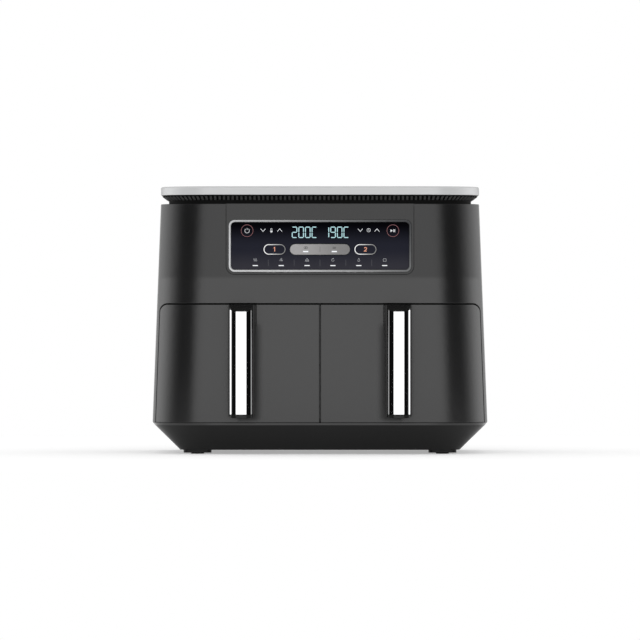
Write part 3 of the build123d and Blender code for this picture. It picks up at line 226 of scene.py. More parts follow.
def shader_group(
    inputs: Mapping[str, float], *outputs: str
) -> Callable[[GroupWiring], Callable[[], NodeTree]]:
    """Turns a function that wires an effect into one that returns the effect's node group.

    Args:
        inputs: each number input's name and default.
        outputs: the outputs' names; each is a number, apart from Normal.

    Returns:
        The decorator. What it makes builds the group on its first call.
    """

    def decorate(wire: GroupWiring) -> Callable[[], NodeTree]:
        """Wraps one function.

        Args:
            wire: gets the group's wiring and inputs, and gives its outputs.

        Returns:
            The function that returns the group.
        """

        @lru_cache(maxsize=None)
        def made() -> NodeTree:
            """The finished group."""
            tree = bpy.data.node_groups.new(wire.__name__, "ShaderNodeTree")
            for label, default in inputs.items():
                socket = tree.interface.new_socket(label, in_out="INPUT", socket_type="NodeSocketFloat")
                socket.default_value = default
            for label in outputs:
                kind = "NodeSocketVector" if label == "Normal" else "NodeSocketFloat"
                tree.interface.new_socket(label, in_out="OUTPUT", socket_type=kind)
            wiring = Wiring(tree)
            results = wire(wiring, wiring.add("NodeGroupInput").outputs)
            wiring.add("NodeGroupOutput", results)
            return tree

        return made

    return decorate


EDGE_GAIN = 3.0
DUST_SCALE = 900.0
SMEAR_EDGE, DUST_EDGE, FLECK_EDGE = (0.42, 0.72), (0.66, 0.78), (0.45, 0.2)


@shader_group({"Cell": 0.4 * MM, "Drift": 60 * MM}, "Height", "Gloss", "Tone")
def moulded_grain(wiring: Wiring, given: Sockets) -> Sockets:
    """Fine spark-eroded texture of moulded plastic, with a slow drift of tone.

    Args:
        wiring: the group's wiring.
        given: its inputs.

    Returns:
        Its outputs.
    """
    place = wiring.place()
    fine = wiring.noise(place, wiring.per(given["Cell"]), Detail=3.0, Roughness=0.6)
    broad = wiring.noise(place, wiring.per(given["Drift"]), Detail=2.0)
    average = wiring.times(wiring.math("ADD", fine, broad), 0.5)
    return {"Height": fine, "Gloss": wiring.math("SUBTRACT", average, 0.5), "Tone": broad}


@shader_group({"Radius": 0.3 * MM}, "Normal", "Edge")
def rounded_edges(wiring: Wiring, given: Sockets) -> Sockets:
    """Softened edges: the normal across a small radius, and how near an edge a point is.

    Args:
        wiring: the group's wiring.
        given: its inputs.

    Returns:
        Its outputs.
    """
    bevel = wiring.add("ShaderNodeBevel", {"Radius": given["Radius"]}, samples=4).outputs[0]
    true_normal = wiring.add("ShaderNodeNewGeometry").outputs["Normal"]
    alike = wiring.vectors("DOT_PRODUCT", bevel, true_normal)["Value"]
    turned = wiring.math("SUBTRACT", 1.0, alike)
    return {"Normal": bevel, "Edge": wiring.math("MULTIPLY", turned, EDGE_GAIN, clamp=True)}


@shader_group({"Smear": 30 * MM}, "Smudge")
def handling(wiring: Wiring, given: Sockets) -> Sockets:
    """Faint smears and dust that hands leave on a glossy surface.

    Args:
        wiring: the group's wiring.
        given: its inputs.

    Returns:
        Its outputs.
    """
    place = wiring.place()
    smear = wiring.noise(place, wiring.per(given["Smear"]), Detail=5.0, Distortion=0.6)
    dust = wiring.noise(place, DUST_SCALE, Detail=1.0)
    wiped, specks = wiring.ease(smear, *SMEAR_EDGE), wiring.ease(dust, *DUST_EDGE)
    return {"Smudge": wiring.math("MAXIMUM", wiped, specks, clamp=True)}


@shader_group({"Pitch X": MM, "Pitch Y": MM, "Pitch Z": MM}, "Height", "Gloss")
def drawn_lines(wiring: Wiring, given: Sockets) -> Sockets:
    """Fine parallel lines of rolled or brushed metal; each axis has its own pitch.

    Args:
        wiring: the group's wiring.
        given: its inputs.

    Returns:
        Its outputs.
    """
    pitch = wiring.add("ShaderNodeCombineXYZ", {i: wiring.per(given[i]) for i in range(3)}).outputs[0]
    stretched = wiring.vectors("MULTIPLY", wiring.place(), pitch)[0]
    lines = wiring.noise(stretched, 1.0, Detail=4.0, Roughness=0.65)
    return {"Height": lines, "Gloss": wiring.math("SUBTRACT", lines, 0.5)}


@shader_group({"Along X": 1.0, "Along Y": 0.0, "Along Z": 0.0, "From": 0.0, "To": 1.0}, "Fade")
def cross_fade(wiring: Wiring, given: Sockets) -> Sockets:
    """A smooth change along a direction, from 0 at one place to 1 at another.

    Args:
        wiring: the group's wiring.
        given: its inputs.

    Returns:
        Its outputs.
    """
    axis = wiring.add("ShaderNodeCombineXYZ", {i: given[i] for i in range(3)}).outputs[0]
    along = wiring.vectors("DOT_PRODUCT", wiring.place(), axis)["Value"]
    return {"Fade": wiring.ease(along, given["From"], given["To"])}


@shader_group({"Size": MM, "Share": 0.2}, "Fleck")
def speckle(wiring: Wiring, given: Sockets) -> Sockets:
    """Scattered round flecks, as in a non-stick coating or a flake paint.

    Args:
        wiring: the group's wiring.
        given: its inputs.

    Returns:
        Its outputs.
    """
    feeds = {"Vector": wiring.place(), "Scale": wiring.per(given["Size"])}
    cells = wiring.add("ShaderNodeTexVoronoi", feeds).outputs
    chosen = wiring.add("ShaderNodeSeparateColor", {0: cells["Color"]}).outputs[0]
    picked = wiring.math("LESS_THAN", chosen, given["Share"])
    return {"Fleck": wiring.times(wiring.ease(cells["Distance"], *FLECK_EDGE), picked)}


# Finishes


@dataclass(frozen=True)
class Reach:
    """A stretch along a direction over which something sets in."""

    axis: Axis
    start: float
    end: float

    def mask(self, wiring: Wiring) -> NodeSocket:
        """0 before the start, 1 past the end."""
        feeds = dict(enumerate((*self.axis, self.start, self.end)))
        return wiring.group(cross_fade(), feeds)["Fade"]


def joined(wiring: Wiring, reaches: Sequence[Reach], operation: str) -> NodeSocket:
    """One mask from several reaches.

    Args:
        wiring: the material's wiring.
        reaches: the stretches.
        operation: MULTIPLY where all must hold, MAXIMUM where one is enough.

    Returns:
        The mask's socket.
    """
    mask = reaches[0].mask(wiring)
    for reach in reaches[1:]:
        mask = wiring.math(operation, mask, reach.mask(wiring))
    return mask


@dataclass(frozen=True)
class Finish(ABC):
    """A surface finish; every piece of one finish shares one material."""

    name: str
    colour: Colour
    roughness: float

    @lru_cache(maxsize=None)
    def material(self) -> Material:
        """The finish's material, made on first use."""
        made = bpy.data.materials.new(f"finish_{self.name}")
        made.use_nodes = True
        wiring = Wiring(made.node_tree)
        wiring.fill(made.node_tree.nodes["Principled BSDF"], self.looks(wiring))
        return made

    @abstractmethod
    def looks(self, wiring: Wiring) -> Feeds:
        """Adds the finish's own nodes.

        Args:
            wiring: the material's wiring.

        Returns:
            What each input of the surface shader gets.
        """

    def rough(self, wiring: Wiring, change: Feed, amount: float) -> NodeSocket:
        """The roughness, with a share of a change that varies over the surface added to it."""
        return wiring.math("ADD", wiring.times(change, amount), self.roughness, clamp=True)

    def tones(self, wiring: Wiring, share: Feed, low: float, high: float) -> NodeSocket:
        """The colour, wandering between two shades of it."""
        return wiring.mix(share, shaded(self.colour, low), shaded(self.colour, high))


@dataclass(frozen=True)
class MouldedPlastic(Finish):
    """Satin or matt plastic with the mould's grain and softened edges."""

    grain: float = 0.4 * MM
    depth: float = 0.15
    edge: float = 0.35 * MM
    specular: float = 0.5
    coat: float = 0.0
    coat_reach: tuple[Reach, ...] = ()
    # Painted shade: where all these reaches hold, the colour is darkened, the roughness raised and the coat
    # taken off.
    painted_shade: tuple[Reach, ...] = ()
    painted_shade_rough: float = 0.0
    painted_shade_dark: float = 1.0
    drift: Span = (0.86, 1.14)
    gloss_drift: float = 0.1
    edge_wear: float = 0.35
    edge_lift: float = 2.0

    def looks(self, wiring: Wiring) -> Feeds:
        """Grain in relief and gloss, a slow drift of tone, paler edges, a sheen, and painted shade that
        darkens the colour, raises the roughness and takes the sheen off.
        """
        grain = wiring.group(moulded_grain(), {"Cell": self.grain})
        edges = wiring.group(rounded_edges(), {"Radius": self.edge})
        worn = wiring.times(edges["Edge"], self.edge_wear)
        base = self.tones(wiring, grain["Tone"], *self.drift)
        base = wiring.mix(worn, base, shaded(self.colour, self.edge_lift))
        gloss = wiring.times(grain["Gloss"], self.gloss_drift)
        sheen: Feed = self.coat
        if self.coat_reach:
            sheen = wiring.times(joined(wiring, self.coat_reach, "MAXIMUM"), self.coat)
        if self.painted_shade:
            painted_shade_mask = joined(wiring, self.painted_shade, "MULTIPLY")
            base = wiring.mix(painted_shade_mask, base, shaded(self.colour, self.painted_shade_dark))
            gloss = wiring.math("ADD", gloss, wiring.times(painted_shade_mask, self.painted_shade_rough))
            if self.coat:
                sheen = wiring.times(sheen, wiring.math("SUBTRACT", 1.0, painted_shade_mask))
        return {
            "Base Color": base,
            "Roughness": self.rough(wiring, gloss, 1.0),
            "Normal": wiring.relief(grain["Height"], self.depth, Normal=edges["Normal"]),
            "Specular IOR Level": self.specular,
            "Coat Weight": sheen,
            "Coat Roughness": self.roughness,
        }


@dataclass(frozen=True)
class MetalSheet(Finish):
    """Bare, plated or rolled metal with drawn lines; pitch is the lines' size along each axis."""

    pitch: Axis = (0.3 * MM, 40 * MM, 0.3 * MM)
    depth: float = 0.05
    stain: float = 0.12
    shade: Optional[Reach] = None
    shade_dark: float = 0.3
    smear: float = 25 * MM
    smear_dark: float = 0.55
    smear_rough: float = 0.35

    def looks(self, wiring: Wiring) -> Feeds:
        """Drawn lines in relief and gloss, smears that darken it and raise its roughness a little, and
        painted shade over one side.
        """
        lines = wiring.group(drawn_lines(), dict(enumerate(self.pitch)))
        smudge = wiring.group(handling(), {"Smear": self.smear})["Smudge"]
        base = self.tones(wiring, wiring.times(smudge, self.stain), 1.0, self.smear_dark)
        # Painted shade: the colour darkens where the reach holds.
        if self.shade:
            base = wiring.mix(self.shade.mask(wiring), base, shaded(self.colour, self.shade_dark))
        gloss = wiring.math("ADD", lines["Gloss"], smudge)
        return {
            "Base Color": base,
            "Roughness": self.rough(wiring, gloss, self.smear_rough * self.stain),
            "Normal": wiring.relief(lines["Height"], self.depth),
            "Metallic": 1.0,
        }


@dataclass(frozen=True)
class SweptSilver(Finish):
    """Flake-painted silver with a painted reflection: light on one side, deepening to the other."""

    painted_dark_colour: Colour
    sweep: Reach = Reach(RIGHT, -0.1, 0.1)
    metallic: float = 0.6
    specular: float = 0.5
    flop: float = 0.0
    flop_dark: float = 0.3
    flop_power: float = 2.0
    flake: float = 0.25 * MM
    flake_share: float = 0.5
    flake_colour: Colour = (0.95, 0.95, 0.95)
    flake_show: float = 0.08
    flake_rough: float = 0.06
    flake_depth: float = 0.02
    edge: float = 0.3 * MM

    def looks(self, wiring: Wiring) -> Feeds:
        """A painted reflection as two silvers along the sweep, with fine flakes that turn darker where they
        are seen aslant.
        """
        fleck = wiring.group(speckle(), {"Size": self.flake, "Share": self.flake_share})["Fleck"]
        edges = wiring.group(rounded_edges(), {"Radius": self.edge})
        base = wiring.mix(self.sweep.mask(wiring), self.colour, self.painted_dark_colour)
        facing = wiring.add("ShaderNodeLayerWeight").outputs["Facing"]
        aslant = wiring.times(wiring.math("POWER", facing, self.flop_power), self.flop)
        base = wiring.mix(aslant, base, shaded(self.painted_dark_colour, self.flop_dark))
        return {
            "Base Color": wiring.mix(wiring.times(fleck, self.flake_show), base, self.flake_colour),
            "Roughness": self.rough(wiring, fleck, self.flake_rough),
            "Normal": wiring.relief(fleck, self.flake_depth, Normal=edges["Normal"]),
            "Metallic": self.metallic,
            "Specular IOR Level": self.specular,
        }


@dataclass(frozen=True)
class GlossWindow(Finish):
    """Smoked gloss window with a painted reflection that lifts from the top to the bottom."""

    middle: Colour
    low: Colour
    heights: tuple[float, float, float]
    specular: float = 0.01
    smear: float = 40 * MM
    smear_colour: Colour = (0.2, 0.2, 0.2)
    smear_show: float = 0.004
    smear_rough: float = 0.1

    def looks(self, wiring: Wiring) -> Feeds:
        """A painted reflection in three tones one over the other, and faint finger smears."""
        bottom, mid, top = self.heights
        painted_reflection = wiring.mix(Reach(UP, bottom, mid).mask(wiring), self.low, self.middle)
        painted_reflection = wiring.mix(Reach(UP, mid, top).mask(wiring), painted_reflection, self.colour)
        smudge = wiring.group(handling(), {"Smear": self.smear})["Smudge"]
        return {
            "Base Color": wiring.mix(wiring.times(smudge, self.smear_show), painted_reflection, self.smear_colour),
            "Roughness": self.rough(wiring, smudge, self.smear_rough),
            "Specular IOR Level": self.specular,
        }


@dataclass(frozen=True)
class LitMark(Finish):
    """A printed mark or lamp lit from behind, a little uneven as a diffuser is."""

    glow: float
    grain: float = 0.5 * MM
    patch: float = 4 * MM
    dim: float = 0.9
    unlit: Span = (0.06, 0.078)
    gloss_drift: float = 0.2
    specular: float = 0.05

    def looks(self, wiring: Wiring) -> Feeds:
        """A slightly uneven glow over a dark print."""
        grain = wiring.group(moulded_grain(), {"Cell": self.grain, "Drift": self.patch})
        return {
            "Base Color": self.tones(wiring, grain["Tone"], *self.unlit),
            "Emission Color": self.tones(wiring, grain["Tone"], self.dim, 1.0),
            "Emission Strength": self.glow,
            "Roughness": self.rough(wiring, grain["Gloss"], self.gloss_drift),
            "Specular IOR Level": self.specular,
        }


@dataclass(frozen=True)
class NonStick(Finish):
    """Dark non-stick coating with pale flecks."""

    fleck: float = 1.6 * MM
    fleck_share: float = 0.16
    fleck_colour: Colour = (0.35, 0.35, 0.36)
    fleck_show: float = 0.25
    grain: float = 0.9 * MM
    patch: float = 35 * MM
    drift: Span = (0.8, 1.2)
    gloss_drift: float = 0.25
    depth: float = 0.12
    metallic: float = 0.25

    def looks(self, wiring: Wiring) -> Feeds:
        """Flecks over a slightly orange-peeled dark film."""
        fleck = wiring.group(speckle(), {"Size": self.fleck, "Share": self.fleck_share})["Fleck"]
        grain = wiring.group(moulded_grain(), {"Cell": self.grain, "Drift": self.patch})
        film = self.tones(wiring, grain["Tone"], *self.drift)
        return {
            "Base Color": wiring.mix(wiring.times(fleck, self.fleck_show), film, self.fleck_colour),
            "Roughness": self.rough(wiring, grain["Gloss"], self.gloss_drift),
            "Normal": wiring.relief(grain["Height"], self.depth),
            "Metallic": self.metallic,
        }


@dataclass(frozen=True)
class CircuitBoard(Finish):
    """Solder-masked board with paler tracks."""

    scale: float = 180.0
    track: float = 0.05
    brick: Span = (1.7, 0.45)
    second_tone: float = 0.8
    track_tone: float = 1.7
    track_rough: float = 0.15
    track_depth: float = 0.2

    def looks(self, wiring: Wiring) -> Feeds:
        """Tracks as thin joints between long bricks, over a green mask."""
        turn = {"Vector": wiring.place(), "Rotation": Euler((math.pi / 2, 0.0, 0.0))}
        feeds = {
            "Vector": wiring.add("ShaderNodeMapping", turn).outputs[0],
            "Scale": self.scale,
            "Mortar Size": self.track,
            "Brick Width": self.brick[0],
            "Row Height": self.brick[1],
            "Color1": rgba(self.colour),
            "Color2": rgba(shaded(self.colour, self.second_tone)),
            "Mortar": rgba(shaded(self.colour, self.track_tone)),
        }
        tracks = wiring.add("ShaderNodeTexBrick", feeds).outputs
        return {
            "Base Color": tracks["Color"],
            "Roughness": self.rough(wiring, tracks["Fac"], self.track_rough),
            "Normal": wiring.relief(tracks["Fac"], self.track_depth),
        }


@dataclass(frozen=True)
class StudioPaper(Finish):
    """White paper sweep under the object."""

    glow: float = 0.47
    grain: float = 3 * MM
    patch: float = 0.9
    dim: float = 0.985

    def looks(self, wiring: Wiring) -> Feeds:
        """Barely uneven white that is lit through from below."""
        grain = wiring.group(moulded_grain(), {"Cell": self.grain, "Drift": self.patch})
        white = self.tones(wiring, grain["Tone"], self.dim, 1.0)
        path = wiring.add("ShaderNodeLightPath").outputs
        seen = wiring.math("MAXIMUM", path["Is Camera Ray"], path["Is Glossy Ray"])
        return {
            "Base Color": white,
            "Roughness": self.roughness,
            "Specular IOR Level": 0.0,
            "Emission Color": wiring.mix(seen, grey(0.0), white),
            "Emission Strength": self.glow,
        }


BODY_GREY = MouldedPlastic(
    "body_grey",
    (0.0115, 0.0115, 0.0118),
    0.22,
    coat=0.36,
    coat_reach=(Reach(UP, 219.5 * MM, 214.0 * MM), Reach(BACK, -96.0 * MM, -76.0 * MM)),
)
# Painted shade in the recess behind the seam: the fascia's lip behind its front face is darkened to a
# tenth, made rough and left without the coat.
FASCIA_GREY = replace(
    BODY_GREY,
    name="fascia_grey",
    painted_shade=(Reach(BACK, -115.2 * MM, -114.2 * MM),),
    painted_shade_rough=0.7,
    painted_shade_dark=0.1,
)
BASE_BLACK = MouldedPlastic(
    "base_black",
    (0.0062, 0.0062, 0.0063),
    0.25,
    specular=0.2,
    coat=0.9,
    coat_reach=(Reach(UP, 35.6 * MM, 36.1 * MM),),
)
# Painted shade under the lid: towards the lid the vent's colour falls to a fiftieth, and the fins also grow
# rougher.
UNDER_LID_SHADE = (Reach(UP, 313.5 * MM, 318.0 * MM),)
VENT_BLACK = MouldedPlastic("vent_black", grey(0.0075), 0.6, specular=0.08, painted_shade=UNDER_LID_SHADE, painted_shade_dark=0.02)
VENT_FIN = MouldedPlastic(
    "vent_fin", grey(0.10), 0.45, grain=0.3 * MM, painted_shade=UNDER_LID_SHADE, painted_shade_rough=0.4, painted_shade_dark=0.02
)
INNER_BLACK = MouldedPlastic("inner_black", grey(0.012), 0.5, grain=0.6 * MM)
GRIP_BLACK = MouldedPlastic("grip_black", grey(0.005), 0.25, depth=0.05, specular=0.3)
CAP_SILVER = SweptSilver(
    "cap_silver", (0.70, 0.705, 0.71), 0.17, (0.695, 0.70, 0.705), metallic=0.0, specular=0.85, flop=0.5
)
CHROME = MetalSheet("chrome", (0.93, 0.93, 0.935), 0.035, (8 * MM, 8 * MM, 8 * MM), 0.0, 0.05)
# Painted reflection on the bezel: bright silver at the lower left, deepening to near black at the upper
# right.
BEZEL_SWEEP = Reach((0.7, 0.0, 0.9), 0.115, 0.345)
BEZEL_SILVER = SweptSilver("bezel_silver", (0.55, 0.555, 0.56), 0.3, (0.035, 0.037, 0.04), BEZEL_SWEEP)
# Painted reflection on the rocker: lighter on the left, darker on the right.
ROCKER_SWEEP = Reach(RIGHT, -0.037, 0.037)
ROCKER_SILVER = SweptSilver("rocker_silver", (0.36, 0.35, 0.35), 0.42, (0.20, 0.195, 0.195), ROCKER_SWEEP)
# Painted reflection on the zone keys' outlines: near white on the left, dark grey on the right; each key
# gets its own reach.
ZONE_SILVER = SweptSilver("zone_silver", grey(0.95), 0.35, grey(0.2))
# Painted reflection on the lens and keys: near black at the top, lifting to grey at the bottom.
LENS_BLACK = GlossWindow(
    "lens_black",
    (0.0002, 0.0002, 0.0012),
    0.12,
    middle=(0.021, 0.022, 0.034),
    low=(0.046, 0.045, 0.057),
    heights=(0.226, 0.254, 0.284),
)
MARK_ROUGH = 0.4
LAMP_ROUGH = 0.3
COPPER_RING = LitMark("copper_ring", (0.26, 0.12, 0.13), MARK_ROUGH, 1.0)
WHITE_MARK = LitMark("white_mark", (0.85, 0.87, 0.90), MARK_ROUGH, 1.0)
DIM_MARK = LitMark("dim_mark", (0.16, 0.165, 0.175), MARK_ROUGH, 1.0)
PICTOGRAM = LitMark("pictogram", (0.42, 0.43, 0.45), MARK_ROUGH, 1.0)
LAMP_WHITE = LitMark("lamp_white", (0.95, 0.97, 1.0), LAMP_ROUGH, 1.0)
DIGIT_CYAN = LitMark("digit_cyan", (0.50, 0.78, 0.82), LAMP_ROUGH, 1.0)
NUMERAL_ORANGE = LitMark("numeral_orange", (0.95, 0.42, 0.28), LAMP_ROUGH, 1.0)
DARK_PRINT = MouldedPlastic("dark_print", (0.05, 0.05, 0.052), 0.5, grain=0.2 * MM)
RUBBER = MouldedPlastic("rubber", grey(0.008), 0.75, grain=0.8 * MM, depth=0.3, specular=0.2)
STEEL_SHEET = MetalSheet("steel_sheet", (0.55, 0.55, 0.54), 0.32)
TUBE_PITCH = (0.5 * MM, 0.5 * MM, 12 * MM)
HEATER_STEEL = MetalSheet("heater_steel", (0.20, 0.18, 0.165), 0.42, TUBE_PITCH, 0.06, 0.4)
MOTOR_STEEL = MetalSheet("motor_steel", grey(0.58), 0.3, (30 * MM, 30 * MM, 0.4 * MM))
FAN_ALUMINIUM = MetalSheet("fan_aluminium", (0.74, 0.74, 0.75), 0.28, (20 * MM, 0.5 * MM, 0.5 * MM))
BUSH_BRASS = MetalSheet("bush_brass", (0.62, 0.44, 0.17), 0.35)
SCREW_ZINC = MetalSheet("screw_zinc", (0.5, 0.5, 0.51), 0.3, (0.4 * MM, 3 * MM, 0.4 * MM))
PAN_COATING = NonStick("pan_coating", (0.018, 0.018, 0.019), 0.38)
BOARD_GREEN = CircuitBoard("board_green", (0.015, 0.11, 0.045), 0.4)
WHITE_NYLON = MouldedPlastic("white_nylon", (0.62, 0.61, 0.58), 0.5)
PAPER = StudioPaper("paper", grey(0.80), 0.9)


# Pieces

NODE_BODY = {node: body for body, nodes in frame["record"]["behaviour"]["bodies"].items() for node in nodes}


def dress(finish: Finish, *nodes: str) -> None:
    """Gives pieces of the frame a finish.

    Args:
        finish: the finish they take.
        nodes: their names in the frame.
    """
    for node in nodes:
        mesh = frame["nodes"][node].data
        mesh.materials.clear()
        mesh.materials.append(finish.material())
        LOG.info("%s has finish %s", node, finish.name)


def fit(piece: Object, body: str, slot: str, *replaced: str) -> None:
    """Fixes a finished piece to a body.

    Args:
        piece: the piece, in place.
        body: the body that it moves with.
        slot: the material slot that it belongs to; it is not used.
        replaced: frame nodes that it stands for.
    """
    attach(piece, body)
    if replaced:
        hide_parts(*replaced)
    LOG.info("%s rides on %s", piece.name, body)


def place_mesh(name: str, mesh: Mesh) -> Object:
    """Puts a mesh into the scene as an object."""
    piece = bpy.data.objects.new(name, mesh)
    bpy.context.scene.collection.objects.link(piece)
    return piece


def mesh_piece(name: str, shape: bmesh.types.BMesh, finish: Finish) -> Object:
    """Turns a built shape into an object.

    Args:
        name: the piece's name.
        shape: its shape, in place; it is freed.
        finish: its finish.

    Returns:
        The new object.
    """
    mesh = bpy.data.meshes.new(name)
    bmesh.ops.recalc_face_normals(shape, faces=shape.faces)
    shape.to_mesh(mesh)
    shape.free()
    mesh.materials.append(finish.material())
    return place_mesh(name, mesh)


def repeat_tree(
    name: str, inputs: Mapping[str, str], wire: Callable[[Wiring, Sockets], NodeSocket]
) -> NodeTree:
    """Makes a Geometry Nodes tree whose instances come out as real geometry with a material.

    Args:
        name: the tree's name.
        inputs: each further input's name and socket type.
        wire: gets the wiring and the inputs, and gives the instances.

    Returns:
        The tree.
    """
    tree = bpy.data.node_groups.new(name, "GeometryNodeTree")
    kinds = {"Geometry": "NodeSocketGeometry", **inputs, "Material": "NodeSocketMaterial"}
    for label, kind in kinds.items():
        tree.interface.new_socket(label, in_out="INPUT", socket_type=kind)
    tree.interface.new_socket("Geometry", in_out="OUTPUT", socket_type="NodeSocketGeometry")
    wiring = Wiring(tree)
    got = wiring.add("NodeGroupInput").outputs
    real = wiring.add("GeometryNodeRealizeInstances", {"Geometry": wire(wiring, got)})
    feeds = {"Geometry": real.outputs[0], "Material": got["Material"]}
    wiring.add("NodeGroupOutput", {0: wiring.add("GeometryNodeSetMaterial", feeds).outputs[0]})
    return tree


def grow(name: str, mesh: Mesh, tree: NodeTree, values: Mapping[str, object]) -> Object:
    """Makes a piece of what a Geometry Nodes tree makes of a mesh.

    Args:
        name: the piece's name.
        mesh: the mesh that the tree starts from.
        tree: the node tree.
        values: each input's value by the input's name.

    Returns:
        The piece, with a plain mesh of its own.
    """
    piece = place_mesh(name, mesh)
    modifier = piece.modifiers.new(name, "NODES")
    modifier.node_group = tree
    for item in tree.interface.items_tree:
        if item.in_out == "INPUT" and item.name in values:
            modifier[item.identifier] = values[item.name]
    graph = bpy.context.evaluated_depsgraph_get()
    made = bpy.data.meshes.new_from_object(piece.evaluated_get(graph))
    piece.modifiers.clear()
    piece.data = made
    return piece


# Marks


def arc(centre: Point, radius: float, start: float, end: float, steps: int = 24) -> list[Point]:
    """Points along an arc, with angles in degrees from +X towards +Z."""
    angles = [math.radians(start + (end - start) * i / steps) for i in range(steps + 1)]
    return [(centre[0] + radius * math.cos(a), centre[1] + radius * math.sin(a)) for a in angles]


def circle(centre: Point, radius: float, steps: int) -> list[Point]:
    """Points round a circle."""
    return arc(centre, radius, 0, 360, steps)[:-1]


def rectangle(centre: Point, width: float, height: float) -> list[Point]:
    """The corners of a rectangle."""
    signs = ((-1, -1), (1, -1), (1, 1), (-1, 1))
    return [(centre[0] + sx * width / 2, centre[1] + sz * height / 2) for sx, sz in signs]


@dataclass(frozen=True)
class Outline:
    """One outline of a pictogram, in millimetres about the pictogram's middle."""

    points: Sequence[Point]
    drawn: Drawn = Drawn.OPEN


WAVE = [(0.45 * math.sin(math.pi * i / 5), 0.36 * i - 1.8) for i in range(11)]
BLADE_HUBS = arc(CENTRE, 1.15, 90, 450, 3)[:-1]
SWEEP = arc(CENTRE, 1.6, 60, 360)
SWEEP_BARB = [(SWEEP[0][0] + dx, SWEEP[0][1] + dz) for dx, dz in ((-0.3, 0.95), CENTRE, (-0.95, -0.55))]
CROWN = arc((-0.95, 0.5), 1.0, 215, 70, 12) + arc((0.95, 0.5), 1.0, 110, -35, 12)
BULB, BULB_RADIUS, STEM_RADIUS = (0.0, -1.5), 1.25, 0.75
STEM_DEG = math.degrees(math.asin(STEM_RADIUS / BULB_RADIUS))
BULB_LINE = arc(BULB, BULB_RADIUS, 90 + STEM_DEG, 450 - STEM_DEG)
OUTLINES: Mapping[Mark, Sequence[Outline]] = {
    Mark.HEAT: [Outline([(x + dx, z) for x, z in WAVE]) for dx in (-1.5, 0.0, 1.5)],
    Mark.AIR: [
        Outline(circle(CENTRE, 0.45, 16), Drawn.CLOSED),
        *[Outline(arc(hub, 0.75, 120 * i - 60, 120 * i + 150, 12)) for i, hub in enumerate(BLADE_HUBS)],
    ],
    Mark.DOME: [
        Outline(arc((0.0, -0.9), 1.9, 0, 180, 20), Drawn.CLOSED),
        Outline(circle((0.0, 1.4), 0.35, 12), Drawn.CLOSED),
        Outline([(-2.4, -1.6), (2.4, -1.6)]),
    ],
    Mark.AGAIN: [Outline(SWEEP), Outline(SWEEP_BARB)],
    Mark.DROP: [Outline(arc((0.0, -0.6), 1.25, 150, 390, 20) + [(0.0, 2.0)], Drawn.CLOSED)],
    Mark.LOAF: [Outline(CROWN + [(1.75, -1.7), (-1.75, -1.7)], Drawn.CLOSED)],
    Mark.THERMOMETER: [
        Outline(circle(BULB, 0.62 * BULB_RADIUS, 32), Drawn.FILLED),
        Outline(BULB_LINE + arc((0.0, 1.45), STEM_RADIUS, 0, 180, 12), Drawn.CLOSED),
    ],
    Mark.CLOCK_HANDS: [Outline([(0.0, 1.4), CENTRE, (1.1, -0.5)])],
    Mark.POWER: [
        Outline(arc(CENTRE, 2.75, 128, 412, 32)),
        Outline(rectangle((0.0, 2.1), 0.45, 2.6), Drawn.FILLED),
    ],
    Mark.START: [
        Outline([(-2.9, -1.7), (-0.2, 0.0), (-2.9, 1.7)], Drawn.FILLED),
        Outline(rectangle((1.0, 0.0), 0.7, 3.4), Drawn.FILLED),
        Outline(rectangle((2.3, 0.0), 0.7, 3.4), Drawn.FILLED),
    ],
    Mark.ONE: [Outline([(-1.1, 1.5), (0.2, 2.5), (0.2, -2.5)])],
    Mark.TWO: [Outline(arc((0.0, 1.0), 1.4, 165, -35, 16) + [(-1.45, -2.1), (1.6, -2.1)])],
}


